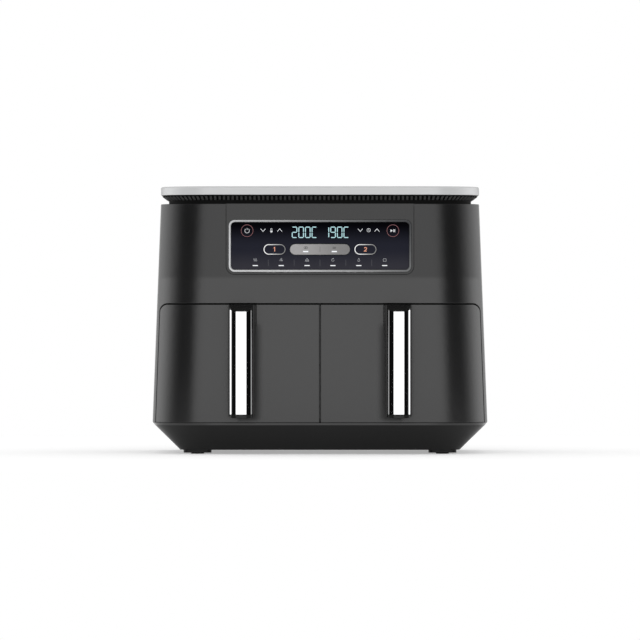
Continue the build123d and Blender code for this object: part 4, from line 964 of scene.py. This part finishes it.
class Stamp:
    """Flat marks drawn in X and Z on a piece's front, given a small thickness."""

    SINK = 0.04 * MM
    LEAST_MITRE = 0.4

    def __init__(self, name: str, node: str, thickness: float = 0.08 * MM) -> None:
        """Starts an empty mark.

        Args:
            name: the mark's name.
            node: the frame's piece that carries it.
            thickness: how far the mark stands off it.
        """
        surface_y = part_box(node)[0].y
        self.name, self.node = name, node
        self.back_y, self.front_y = surface_y + self.SINK, surface_y - thickness
        self.shape = bmesh.new()

    def polygon(self, points: Sequence[Point]) -> None:
        """A filled outline.

        Args:
            points: its corners.
        """
        front = [self.shape.verts.new((x, self.front_y, z)) for x, z in points]
        back = [self.shape.verts.new((x, self.back_y, z)) for x, z in points]
        self.shape.faces.new(front)
        self.shape.faces.new(back[::-1])
        for i in range(len(points)):
            self.shape.faces.new((front[i], front[i - 1], back[i - 1], back[i]))

    def band(self, outer: Sequence[Point], inner: Sequence[Point], closed: bool) -> None:
        """A strip between two lines of as many points.

        Args:
            outer: the line on one side.
            inner: the line on the other side.
            closed: True to join the ends.
        """
        front, back = self.front_y, self.back_y
        lines = ((outer, front), (inner, front), (inner, back), (outer, back))
        rows = [[self.shape.verts.new((x, y, z)) for x, z in line] for line, y in lines]
        count = len(outer)
        for i in range(count if closed else count - 1):
            j = (i + 1) % count
            for a, b in ((0, 1), (1, 2), (2, 3), (3, 0)):
                self.shape.faces.new((rows[a][i], rows[a][j], rows[b][j], rows[b][i]))
        if not closed:
            for i in (0, count - 1):
                self.shape.faces.new([row[i] for row in rows])

    def stroke(self, points: Sequence[Point], width: float, closed: bool = False) -> None:
        """A line of one width through some points, with mitred corners.

        Args:
            points: the points it goes through.
            width: the line's width.
            closed: True to join its ends.
        """
        count = len(points)
        left: list[Point] = []
        right: list[Point] = []
        for i, here in enumerate(points):
            before = points[i - 1] if closed or i > 0 else here
            after = points[(i + 1) % count] if closed or i < count - 1 else here
            first = Vector(here) - Vector(before)
            second = Vector(after) - Vector(here)
            first = first.normalized() if first.length > 0 else second.normalized()
            second = second.normalized() if second.length > 0 else first
            along = (first + second).normalized()
            across = Vector((-along.y, along.x))
            mitre = max(self.LEAST_MITRE, across.dot(Vector((-first.y, first.x))))
            aside = across * (width / 2 / mitre)
            left.append((here[0] + aside.x, here[1] + aside.y))
            right.append((here[0] - aside.x, here[1] - aside.y))
        self.band(left, right, closed)

    def ring(self, centre: Point, radius: float, width: float, steps: int = 64) -> None:
        """A closed ring; radius is its outer edge."""
        self.band(circle(centre, radius, steps), circle(centre, radius - width, steps), True)

    def bar(self, centre: Point, width: float, height: float) -> None:
        """A filled rectangle."""
        self.polygon(rectangle(centre, width, height))

    def pill(self, centre: Point, width: float, height: float, line: float) -> None:
        """The outline of a round-ended key, inside the given size.

        Args:
            centre: its middle.
            width: its length from end to end.
            height: its height.
            line: how wide the outline is.
        """
        reach = (width - height) / 2
        ends = [((centre[0] + reach, centre[1]), -90), ((centre[0] - reach, centre[1]), 90)]
        outer, inner = [
            [point for end, start in ends for point in arc(end, height / 2 - inset, start, start + 180)]
            for inset in (0.0, line)
        ]
        self.band(outer, inner, True)

    def pictogram(self, mark: Mark, centre: Point, line: float) -> None:
        """Draws a pictogram.

        Args:
            mark: which one.
            centre: where its middle goes.
            line: how wide its lines are.
        """
        for outline in OUTLINES[mark]:
            points = [(centre[0] + x * MM, centre[1] + z * MM) for x, z in outline.points]
            if outline.drawn is Drawn.FILLED:
                self.polygon(points)
            else:
                self.stroke(points, line, outline.drawn is Drawn.CLOSED)

    def piece(self, finish: Finish, slot: str) -> None:
        """Finishes the mark and fixes it to the body of what carries it."""
        fit(mesh_piece(self.name, self.shape, finish), NODE_BODY[self.node], slot)


# Sub-assemblies


@dataclass
class Casing:
    """Shell, base, lid, back and the grille under the lid."""

    fin_pitch: float = 5.345 * MM
    fin_width: float = 2.6 * MM
    fin_depth: float = 1.0 * MM
    fin_length: float = 8.0 * MM
    fin_drop: float = 1.2 * MM
    flare_low_inset: float = 10.0 * MM
    flare_high_inset: float = 0.8 * MM
    flare_height: float = 5.7 * MM
    front_corner: Span = (70.0 * MM, 50.0 * MM)
    back_corner: Span = (50.0 * MM, 50.0 * MM)

    def dress(self) -> None:
        """Finishes of the frame's own pieces."""
        dress(BODY_GREY, "main_housing")
        dress(FASCIA_GREY, "control_fascia")
        dress(BASE_BLACK, "base_pan", "rear_cover")
        dress(VENT_BLACK, "vent_ring")
        dress(CAP_SILVER, "top_cap")
        dress(RUBBER, "foot_pads", "cord_gland")

    def outline(self, inset: float, z: float, steps: int = 24) -> list[tuple[float, float, float]]:
        """The casing seen from above, drawn in by an inset.

        Args:
            inset: how far inside the casing's edge it runs.
            z: its height.
            steps: pieces that each corner is divided into.

        Returns:
            Its points, anticlockwise from the right front corner.
        """
        low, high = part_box("top_cap")
        corners = (
            (high.x, low.y, -1, 1, self.front_corner, 270),
            (high.x, high.y, -1, -1, self.back_corner, 0),
            (low.x, high.y, 1, -1, self.back_corner, 90),
            (low.x, low.y, 1, 1, self.front_corner, 180),
        )
        points = []
        for x, y, to_x, to_y, (wide, deep), start in corners:
            for i in range(steps + 1):
                angle = math.radians(start + 90 * i / steps)
                across = (wide - inset) * math.cos(angle)
                along = (deep - inset) * math.sin(angle)
                points.append((x + to_x * wide + across, y + to_y * deep + along, z))
        return points

    def fin_row(self, wiring: Wiring, got: Sockets) -> NodeSocket:
        """Fins along a closed path, each turned to stand across it.

        Args:
            wiring: the tree's wiring.
            got: the tree's inputs.

        Returns:
            The fins, as instances.
        """
        path = wiring.add("GeometryNodeMeshToCurve", {"Mesh": got["Geometry"]})
        feeds = {"Curve": path.outputs[0], "Count": got["Count"]}
        places = wiring.add("GeometryNodeCurveToPoints", feeds, mode="COUNT").outputs
        feeds = {"Vector": places["Tangent"]}
        turn = wiring.add("FunctionNodeAlignRotationToVector", feeds, axis="X", pivot_axis="Z")
        fin = wiring.add("GeometryNodeMeshCube", {"Size": got["Fin Size"]}).outputs["Mesh"]
        tilted = wiring.add("GeometryNodeTransform", {"Geometry": fin, "Rotation": got["Tilt"]})
        feeds = {"Points": places["Points"], "Instance": tilted.outputs[0], "Rotation": turn.outputs[0]}
        return wiring.add("GeometryNodeInstanceOnPoints", feeds).outputs[0]

    def build_fins(self) -> None:
        """The row of fins on the flare between the neck and the lid, from the middle of the front round."""
        spread = self.flare_low_inset - self.flare_high_inset
        slope = math.atan2(self.flare_height, spread)
        drop = self.fin_drop + math.sin(slope) * self.fin_length / 2
        inset = self.flare_high_inset + spread * drop / self.flare_height
        points = self.outline(inset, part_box("top_cap")[0].z - drop)
        points.insert(0, (0.0, *points[0][1:]))
        count = len(points)
        edges = [(i, (i + 1) % count) for i in range(count)]
        length = sum((Vector(points[i]) - Vector(points[j])).length for i, j in edges)
        mesh = bpy.data.meshes.new("vent_fins")
        mesh.from_pydata(points, edges, [])
        inputs = {"Count": "NodeSocketInt", "Fin Size": "NodeSocketVector", "Tilt": "NodeSocketRotation"}
        values = {
            "Count": round(length / self.fin_pitch),
            "Fin Size": (self.fin_width, self.fin_length, 2 * self.fin_depth),
            "Tilt": (-slope, 0.0, 0.0),
            "Material": VENT_FIN.material(),
        }
        piece = grow("vent_fins", mesh, repeat_tree("vent_fins", inputs, self.fin_row), values)
        fit(piece, NODE_BODY["vent_ring"], "base_black")

    def build(self) -> None:
        """Everything on the outside of the casing."""
        self.dress()
        self.build_fins()
        ScrewSet().build()


@dataclass
class ScrewSet:
    """The casing's screws: domed heads with a cross recess, on short shanks."""

    rear_x: tuple[float, ...] = (-129 * MM, 0.0, 129 * MM)
    rear_z: tuple[float, ...] = (79 * MM, 276 * MM)
    base_x: tuple[float, ...] = (-153 * MM, -47 * MM, 47 * MM, 153 * MM)
    base_y: tuple[float, ...] = (-40 * MM, 78 * MM)
    base_z: float = 28 * MM
    head_radius: float = 3.45 * MM
    head_height: float = 1.75 * MM
    dome: float = 0.9 * MM
    recess: float = 1.0 * MM
    recess_wall: float = 0.25 * MM
    arm_half: Span = (1.9 * MM, 0.42 * MM)
    shank_radius: float = 1.5 * MM
    shank_length: float = 9.0 * MM

    def places(self) -> list[tuple[Vector, Vector]]:
        """The top of each head and the way it faces."""
        back_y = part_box("case_screws")[1].y
        rear = [(Vector((x, back_y, z)), Vector(BACK)) for x in self.rear_x for z in self.rear_z]
        base = [(Vector((x, y, self.base_z)), -Vector(UP)) for x in self.base_x for y in self.base_y]
        return rear + base

    def top(self, x: float, y: float) -> float:
        """The head's height at a point: a dome with a cross pressed into it.

        Args:
            x: the point's place across the head.
            y: its place along the head.

        Returns:
            The height, 0 at the top of the dome.
        """
        away = min(1.0, math.hypot(x, y) / self.head_radius)
        long, narrow = self.arm_half
        arms = []
        for along, across in ((x, y), (y, x)):
            inside = min(1.0, max(0.0, (long - abs(along)) / self.recess_wall))
            arms.append(inside * min(1.0, max(0.0, (narrow - abs(across)) / self.recess_wall + 0.5)))
        return -self.dome * away**2 - self.recess * max(arms)

    def template(self, rings: int = 14, steps: int = 48) -> Object:
        """One screw with its head's top at the origin, facing +Z.

        Args:
            rings: rings of faces from the head's middle to its edge.
            steps: faces in each ring.

        Returns:
            The screw.
        """
        shape = bmesh.new()
        under = -self.head_height
        loops = []
        for i in range(1, rings + 1):
            dome = circle(CENTRE, self.head_radius * i / rings, steps)
            loops.append([shape.verts.new((x, y, self.top(x, y))) for x, y in dome])
        for radius, z in (
            (self.head_radius, under),
            (self.shank_radius, under),
            (self.shank_radius, under - self.shank_length),
        ):
            loops.append([shape.verts.new((x, y, z)) for x, y in circle(CENTRE, radius, steps)])
        middle = shape.verts.new((0, 0, self.top(0, 0)))
        for j in range(steps):
            k = (j + 1) % steps
            shape.faces.new((middle, loops[0][j], loops[0][k]))
            for inner, outer in zip(loops, loops[1:]):
                shape.faces.new((inner[j], outer[j], outer[k], inner[k]))
        shape.faces.new(loops[-1][::-1])
        return mesh_piece("screw_template", shape, SCREW_ZINC)

    def row(self, wiring: Wiring, got: Sockets) -> NodeSocket:
        """One screw on each point, turned to the way the point faces.

        Args:
            wiring: the tree's wiring.
            got: the tree's inputs.

        Returns:
            The screws, as instances.
        """
        facing = wiring.add("GeometryNodeInputNamedAttribute", {"Name": "facing"}, data_type="FLOAT_VECTOR")
        turn = wiring.add("FunctionNodeAlignRotationToVector", {"Vector": facing.outputs[0]}, axis="Z")
        screw = wiring.add("GeometryNodeObjectInfo", {"Object": got["Screw"], "As Instance": True})
        shape = screw.outputs["Geometry"]
        feeds = {"Points": got["Geometry"], "Instance": shape, "Rotation": turn.outputs[0]}
        return wiring.add("GeometryNodeInstanceOnPoints", feeds).outputs[0]

    def build(self) -> None:
        """Every screw of the casing as one piece."""
        places = self.places()
        mesh = bpy.data.meshes.new("case_screw_heads")
        mesh.from_pydata([place for place, _ in places], [], [])
        facing = mesh.attributes.new("facing", "FLOAT_VECTOR", "POINT")
        for entry, (_, way) in zip(facing.data, places):
            entry.vector = way
        template = self.template()
        tree = repeat_tree("screw_set", {"Screw": "NodeSocketObject"}, self.row)
        values = {"Screw": template, "Material": SCREW_ZINC.material()}
        piece = grow("case_screw_heads", mesh, tree, values)
        bpy.data.objects.remove(template)
        fit(piece, NODE_BODY["case_screws"], "screw_steel", "case_screws")


LIT_BARS = {"0": "abcdef", "1": "bc", "2": "abged", "9": "abcdfg", "C": "adef"}


@dataclass
class SevenSegment:
    """Lit numbers on the display, made of straight bars."""

    height: float = 13.9 * MM
    width: float = 6.8 * MM
    pitch: float = 8.1 * MM
    line: float = 1.1 * MM
    gap: float = 0.2 * MM

    def bar(self, start: Point, end: Point) -> list[Point]:
        """One pointed bar between two corners of a figure.

        Args:
            start: the first corner.
            end: the second corner.

        Returns:
            The bar's outline.
        """
        first, last = Vector(start), Vector(end)
        along = (last - first).normalized()
        across = Vector((-along.y, along.x)) * self.line / 2
        tip = along * self.line / 2
        first, last = first + along * self.gap, last - along * self.gap
        near, far = first + tip, last - tip
        return [(p.x, p.y) for p in (first, near + across, far + across, last, far - across, near - across)]

    def draw(self, stamp: Stamp, text: str, left: float, bottom: float) -> None:
        """Draws some figures.

        Args:
            stamp: the mark they are added to.
            text: the figures.
            left: the first figure's left edge.
            bottom: their lower edge.
        """
        inset = self.line / 2
        low, high = bottom + inset, bottom + self.height - inset
        middle = (low + high) / 2
        for i, figure in enumerate(text):
            x0 = left + i * self.pitch + inset
            x1 = x0 + self.width - self.line
            ends = {
                "a": ((x0, high), (x1, high)),
                "b": ((x1, middle), (x1, high)),
                "c": ((x1, low), (x1, middle)),
                "d": ((x0, low), (x1, low)),
                "e": ((x0, low), (x0, middle)),
                "f": ((x0, middle), (x0, high)),
                "g": ((x0, middle), (x1, middle)),
            }
            for name in LIT_BARS[figure]:
                stamp.polygon(self.bar(*ends[name]))


@dataclass
class ControlPanel:
    """Bezel, lens, keys and every mark on them."""

    top_row_z: float = 274.9 * MM
    chevron_x: Span = (69.8 * MM, 49.4 * MM)
    chevron: Span = (6.4 * MM, 3.9 * MM)
    chevron_line: float = 0.6 * MM
    icon_x: float = 59.6 * MM
    clock_radius: float = 2.3 * MM
    readings: tuple[tuple[str, float], ...] = (("200C", -34.6 * MM), ("190C", 4.5 * MM))
    digits_z: float = 265.3 * MM
    function_marks: tuple[Mark, ...] = (Mark.HEAT, Mark.AIR, Mark.DOME, Mark.AGAIN, Mark.DROP, Mark.LOAF)
    function_step: float = 31.7 * MM
    function_z: float = 238.4 * MM
    divider_z: Span = (230.9 * MM, 238.8 * MM)
    divider_line: float = 0.25 * MM
    divider_rise: float = 0.05 * MM
    mark_line: float = 0.42 * MM
    key_flange: float = 0.9 * MM
    key_margin: float = 0.35 * MM
    ring_line: float = 0.55 * MM
    sign_line: float = 0.45 * MM
    zone_line: float = 1.0 * MM
    numeral_line: float = 0.8 * MM
    rocker_lamp: Span = (6.4 * MM, 1.5 * MM)
    rocker_lamp_x: float = 17.5 * MM
    rocker_lamp_drop: float = 2.6 * MM
    rocker_sign_rise: float = 2.0 * MM
    rocker_rings_x: Span = (-0.9 * MM, 0.9 * MM)
    rocker_ring_radius: float = 1.5 * MM
    rocker_bars_z: Span = (-0.7 * MM, 0.7 * MM)
    rocker_bar: Span = (4.2 * MM, 0.6 * MM)
    rocker_divider: Span = (0.3 * MM, 7.0 * MM)

    def dress(self) -> None:
        """Finishes of the frame's own pieces."""
        dress(BEZEL_SILVER, "panel_bezel")
        dress(LENS_BLACK, "panel_lens", "power_key", "start_key", "zone_1_key", "zone_2_key")
        dress(ROCKER_SILVER, "link_rocker")
        dress(LAMP_WHITE, "light_guides")

    def cap(self, node: str) -> tuple[Point, Span]:
        """A key's cap seen from the front, inside the key's hidden flange.

        Args:
            node: the key.

        Returns:
            The cap's middle, and half its width and height.
        """
        low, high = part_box(node)
        middle, half = (low + high) / 2, (high - low) / 2
        return (middle.x, middle.z), (half.x - self.key_flange, half.z - self.key_flange)

    def build_digits(self) -> None:
        """The two readings on the display."""
        stamp = Stamp("display_digits", "panel_lens")
        for text, left in self.readings:
            SevenSegment().draw(stamp, text, left, self.digits_z)
        stamp.piece(DIGIT_CYAN, "lamp_white")

    def build_arrows(self) -> None:
        """Down and up arrows each side, with a small thermometer and clock between."""
        stamp = Stamp("touch_arrows", "panel_lens")
        far, near = self.chevron_x
        half_x, half_z = [(size - self.chevron_line) / 2 for size in self.chevron]
        z = self.top_row_z
        for x, way in ((-far, -1), (-near, 1), (near, -1), (far, 1)):
            tip, tail = z + way * half_z, z - way * half_z
            stamp.stroke([(x - half_x, tail), (x, tip), (x + half_x, tail)], self.chevron_line)
        stamp.pictogram(Mark.THERMOMETER, (-self.icon_x, z), self.mark_line)
        stamp.pictogram(Mark.CLOCK_HANDS, (self.icon_x, z), self.mark_line)
        stamp.ring((self.icon_x, z), self.clock_radius, self.mark_line, steps=40)
        stamp.piece(WHITE_MARK, "lamp_white")

    def build_functions(self) -> None:
        """Six pictograms, each over its lamp, and faint lines between them."""
        lines = Stamp("function_dividers", "panel_lens", self.divider_rise)
        low, high = self.divider_z
        for i in range(1, len(self.function_marks)):
            x = (i - len(self.function_marks) / 2) * self.function_step
            lines.bar((x, (low + high) / 2), self.divider_line, high - low)
        lines.piece(DIM_MARK, "lamp_white")
        marks = Stamp("function_marks", "panel_lens")
        first = -(len(self.function_marks) - 1) / 2 * self.function_step
        for i, mark in enumerate(self.function_marks):
            marks.pictogram(mark, (first + i * self.function_step, self.function_z), self.mark_line)
        marks.piece(PICTOGRAM, "lamp_white")

    def build_round_keys(self) -> None:
        """Copper rings, a power sign and a start sign, each on its key."""
        for node, mark in (("power_key", Mark.POWER), ("start_key", Mark.START)):
            centre, half = self.cap(node)
            ring = Stamp(f"{node}_ring", node)
            ring.ring(centre, half[0] - self.key_margin, self.ring_line)
            ring.piece(COPPER_RING, "key_black")
            sign = Stamp(f"{node}_sign", node)
            sign.pictogram(mark, centre, self.sign_line)
            sign.piece(WHITE_MARK, "lamp_white")

    def build_zone_keys(self) -> None:
        """A silver outline and a numeral on each zone key."""
        for node, mark in (("zone_1_key", Mark.ONE), ("zone_2_key", Mark.TWO)):
            centre, half = self.cap(node)
            edge = Stamp(f"{node}_edge", node)
            width, height = [2 * (size - self.key_margin) for size in half]
            edge.pill(centre, width, height, self.zone_line)
            # The outline's painted reflection runs across the key from left to right.
            sweep = Reach(RIGHT, centre[0] - half[0], centre[0] + half[0])
            edge.piece(replace(ZONE_SILVER, name=f"{node}_silver", sweep=sweep), "bezel_silver")
            sign = Stamp(f"{node}_numeral", node)
            sign.pictogram(mark, centre, self.numeral_line)
            sign.piece(NUMERAL_ORANGE, "lamp_white")

    def build_rocker(self) -> None:
        """Two lamps on the rocker, a plain sign over each and a line between them."""
        (x, z), _ = self.cap("link_rocker")
        left, right = x - self.rocker_lamp_x, x + self.rocker_lamp_x
        lamps = Stamp("rocker_lamps", "link_rocker")
        for lamp_x in (left, right):
            lamps.bar((lamp_x, z - self.rocker_lamp_drop), *self.rocker_lamp)
        lamps.piece(LAMP_WHITE, "lamp_white")
        signs = Stamp("rocker_signs", "link_rocker")
        top = z + self.rocker_sign_rise
        for dx in self.rocker_rings_x:
            signs.ring((left + dx, top), self.rocker_ring_radius, self.sign_line, steps=32)
        for dz in self.rocker_bars_z:
            signs.bar((right, top + dz), *self.rocker_bar)
        signs.bar((x, z), *self.rocker_divider)
        signs.piece(DARK_PRINT, "rocker_silver")

    def build(self) -> None:
        """Everything on the panel."""
        self.dress()
        self.build_digits()
        self.build_arrows()
        self.build_functions()
        self.build_round_keys()
        self.build_zone_keys()
        self.build_rocker()


@dataclass
class Drawer:
    """One pull-out drawer: front, handle, pan and crisper plate."""

    side: Side
    # Where the painted shadow of the handle falls on the front, across and up.
    handle_shadow_x: Span = (67.5 * MM, 82.5 * MM)
    handle_shadow_end_x: Span = (104.0 * MM, 98.0 * MM)
    handle_shadow_top_z: Span = (166.0 * MM, 152.0 * MM)
    handle_shadow_low_z: Span = (38.0 * MM, 46.0 * MM)
    handle_shadow_rough: float = 0.38
    strip_shade_x: Span = (87.0 * MM, 85.5 * MM)

    def outward(self) -> Axis:
        """The direction from the object's middle to this drawer."""
        return (float(self.side.value), 0.0, 0.0)

    def front_finish(self) -> Finish:
        """The front's grey, with a painted shadow of the handle: beside it, on the side towards the middle,
        the coat is taken off and the roughness raised.
        """
        handle_shadow = (
            Reach(self.outward(), *self.handle_shadow_x),
            Reach(self.outward(), *self.handle_shadow_end_x),
            Reach(UP, *self.handle_shadow_top_z),
            Reach(UP, *self.handle_shadow_low_z),
        )
        return replace(BODY_GREY, name=self.side.node("front_grey"), painted_shade=handle_shadow, painted_shade_rough=self.handle_shadow_rough)

    def strip_finish(self) -> Finish:
        """The strip's chrome, with painted shade on the edge that faces the other handle."""
        shade = Reach(self.outward(), *self.strip_shade_x)
        return replace(CHROME, name=self.side.node("strip_chrome"), shade=shade)

    def build(self) -> None:
        """Finishes of the drawer's pieces."""
        name = self.side.node
        dress(self.front_finish(), name("drawer_front"))
        dress(INNER_BLACK, name("drawer_backplate"))
        dress(GRIP_BLACK, name("handle_grip"))
        dress(self.strip_finish(), name("handle_strip"))
        dress(PAN_COATING, name("pan"), name("crisper_plate"))
        dress(RUBBER, name("crisper_bumpers"))
        dress(SCREW_ZINC, name("drawer_screws"))


@dataclass
class HotSide:
    """Bay, heater, guard, motor and fans of one drawer."""

    side: Side

    def build(self) -> None:
        """Finishes of the pieces behind one drawer."""
        name = self.side.node
        dress(STEEL_SHEET, name("cooking_bay"), name("heater_guard"), name("motor_mount"))
        dress(HEATER_STEEL, name("heater"))
        dress(MOTOR_STEEL, name("motor_can"), name("rotor"))
        dress(FAN_ALUMINIUM, name("circulation_fan"))
        dress(INNER_BLACK, name("cooling_fan"))


@dataclass
class Inside:
    """Boards, switches and the small pieces that both sides share."""

    def build(self) -> None:
        """Finishes of the pieces inside the casing."""
        dress(BOARD_GREEN, "control_board", "power_board")
        dress(INNER_BLACK, "tact_switches", "interlock_switches", "thermal_cutouts", "display_module")
        dress(WHITE_NYLON, "board_posts", "ribbon_cable")
        dress(STEEL_SHEET, "drawer_runners")
        dress(HEATER_STEEL, "temperature_probes")
        dress(BUSH_BRASS, "motor_bushes")


@dataclass
class Studio:
    """Paper floor, soft light all round and the camera."""

    floor_half: float = 0.9
    camera_place: tuple[float, float, float] = (0.0, -7.116, 0.1648)
    camera_reach: float = 60.0
    lens_mm: float = 321.4
    panel_edge: Span = (18.0, 34.0)
    side_edge: Span = (50.0, 98.0)
    back_edge: Span = (100.0, 150.0)
    panel_light: float = 1.52
    side_light: float = 1.85
    back_light: float = 0.7
    dark_light: float = 0.004
    top_light: float = 0.25
    top_from: Span = (0.45, 0.75)
    room_light: float = 0.8

    def build_floor(self) -> None:
        """A wide paper floor."""
        shape = bmesh.new()
        corners = rectangle(CENTRE, 2 * self.floor_half, 2 * self.floor_half)
        shape.faces.new([shape.verts.new((x, y, 0.0)) for x, y in corners])
        mesh_piece("paper_floor", shape, PAPER)

    def build_light(self) -> None:
        """A front panel, dark flanks, bright side walls and a dimmer back, with a soft ceiling."""
        world = bpy.data.worlds.new("studio")
        bpy.context.scene.world = world
        world.use_nodes = True
        world.node_tree.nodes.clear()
        wiring = Wiring(world.node_tree)
        ray = wiring.add("ShaderNodeTexCoord").outputs["Generated"]
        part = wiring.add("ShaderNodeSeparateXYZ", {0: ray}).outputs
        aside, ahead = wiring.math("ABSOLUTE", part[0]), wiring.times(part[1], -1.0)
        angle = wiring.math("DEGREES", wiring.math("ARCTAN2", aside, ahead))
        light: Feed = grey(self.panel_light)
        for edge, level in (
            (self.panel_edge, self.dark_light),
            (self.side_edge, self.side_light),
            (self.back_edge, self.back_light),
        ):
            light = wiring.mix(wiring.ease(angle, *edge), light, grey(level))
        light = wiring.mix(wiring.ease(part[2], *self.top_from), light, grey(self.top_light))
        path = wiring.add("ShaderNodeLightPath").outputs
        light = wiring.mix(path["Is Diffuse Ray"], light, grey(self.room_light))
        soft = wiring.add("ShaderNodeBackground", {"Color": light}).outputs[0]
        plain = wiring.add("ShaderNodeBackground", {"Color": rgba(grey(1.0))}).outputs[0]
        both = wiring.add("ShaderNodeMixShader", {0: path["Is Camera Ray"], 1: soft, 2: plain})
        wiring.add("ShaderNodeOutputWorld", {"Surface": both.outputs[0]})

    def build_camera(self) -> None:
        """A long lens, level and square to the front."""
        data = bpy.data.cameras.new("camera")
        data.lens = self.lens_mm
        data.clip_end = self.camera_reach
        camera = bpy.data.objects.new("camera", data)
        level = Euler((math.pi / 2, 0.0, 0.0)).to_matrix().to_4x4()
        camera.matrix_world = Matrix.Translation(self.camera_place) @ level
        bpy.context.scene.collection.objects.link(camera)
        bpy.context.scene.camera = camera

    def build(self) -> None:
        """The whole studio."""
        self.build_camera()
        self.build_floor()
        self.build_light()
        bpy.context.scene.view_settings.view_transform = "Standard"


def main() -> None:
    """Builds the studio, then the object from the outside in."""
    logging.basicConfig(level=logging.INFO, format="%(name)s: %(message)s")
    Studio().build()
    Casing().build()
    ControlPanel().build()
    for side in Side:
        Drawer(side).build()
        HotSide(side).build()
    Inside().build()


if __name__ == "__main__":
    main()
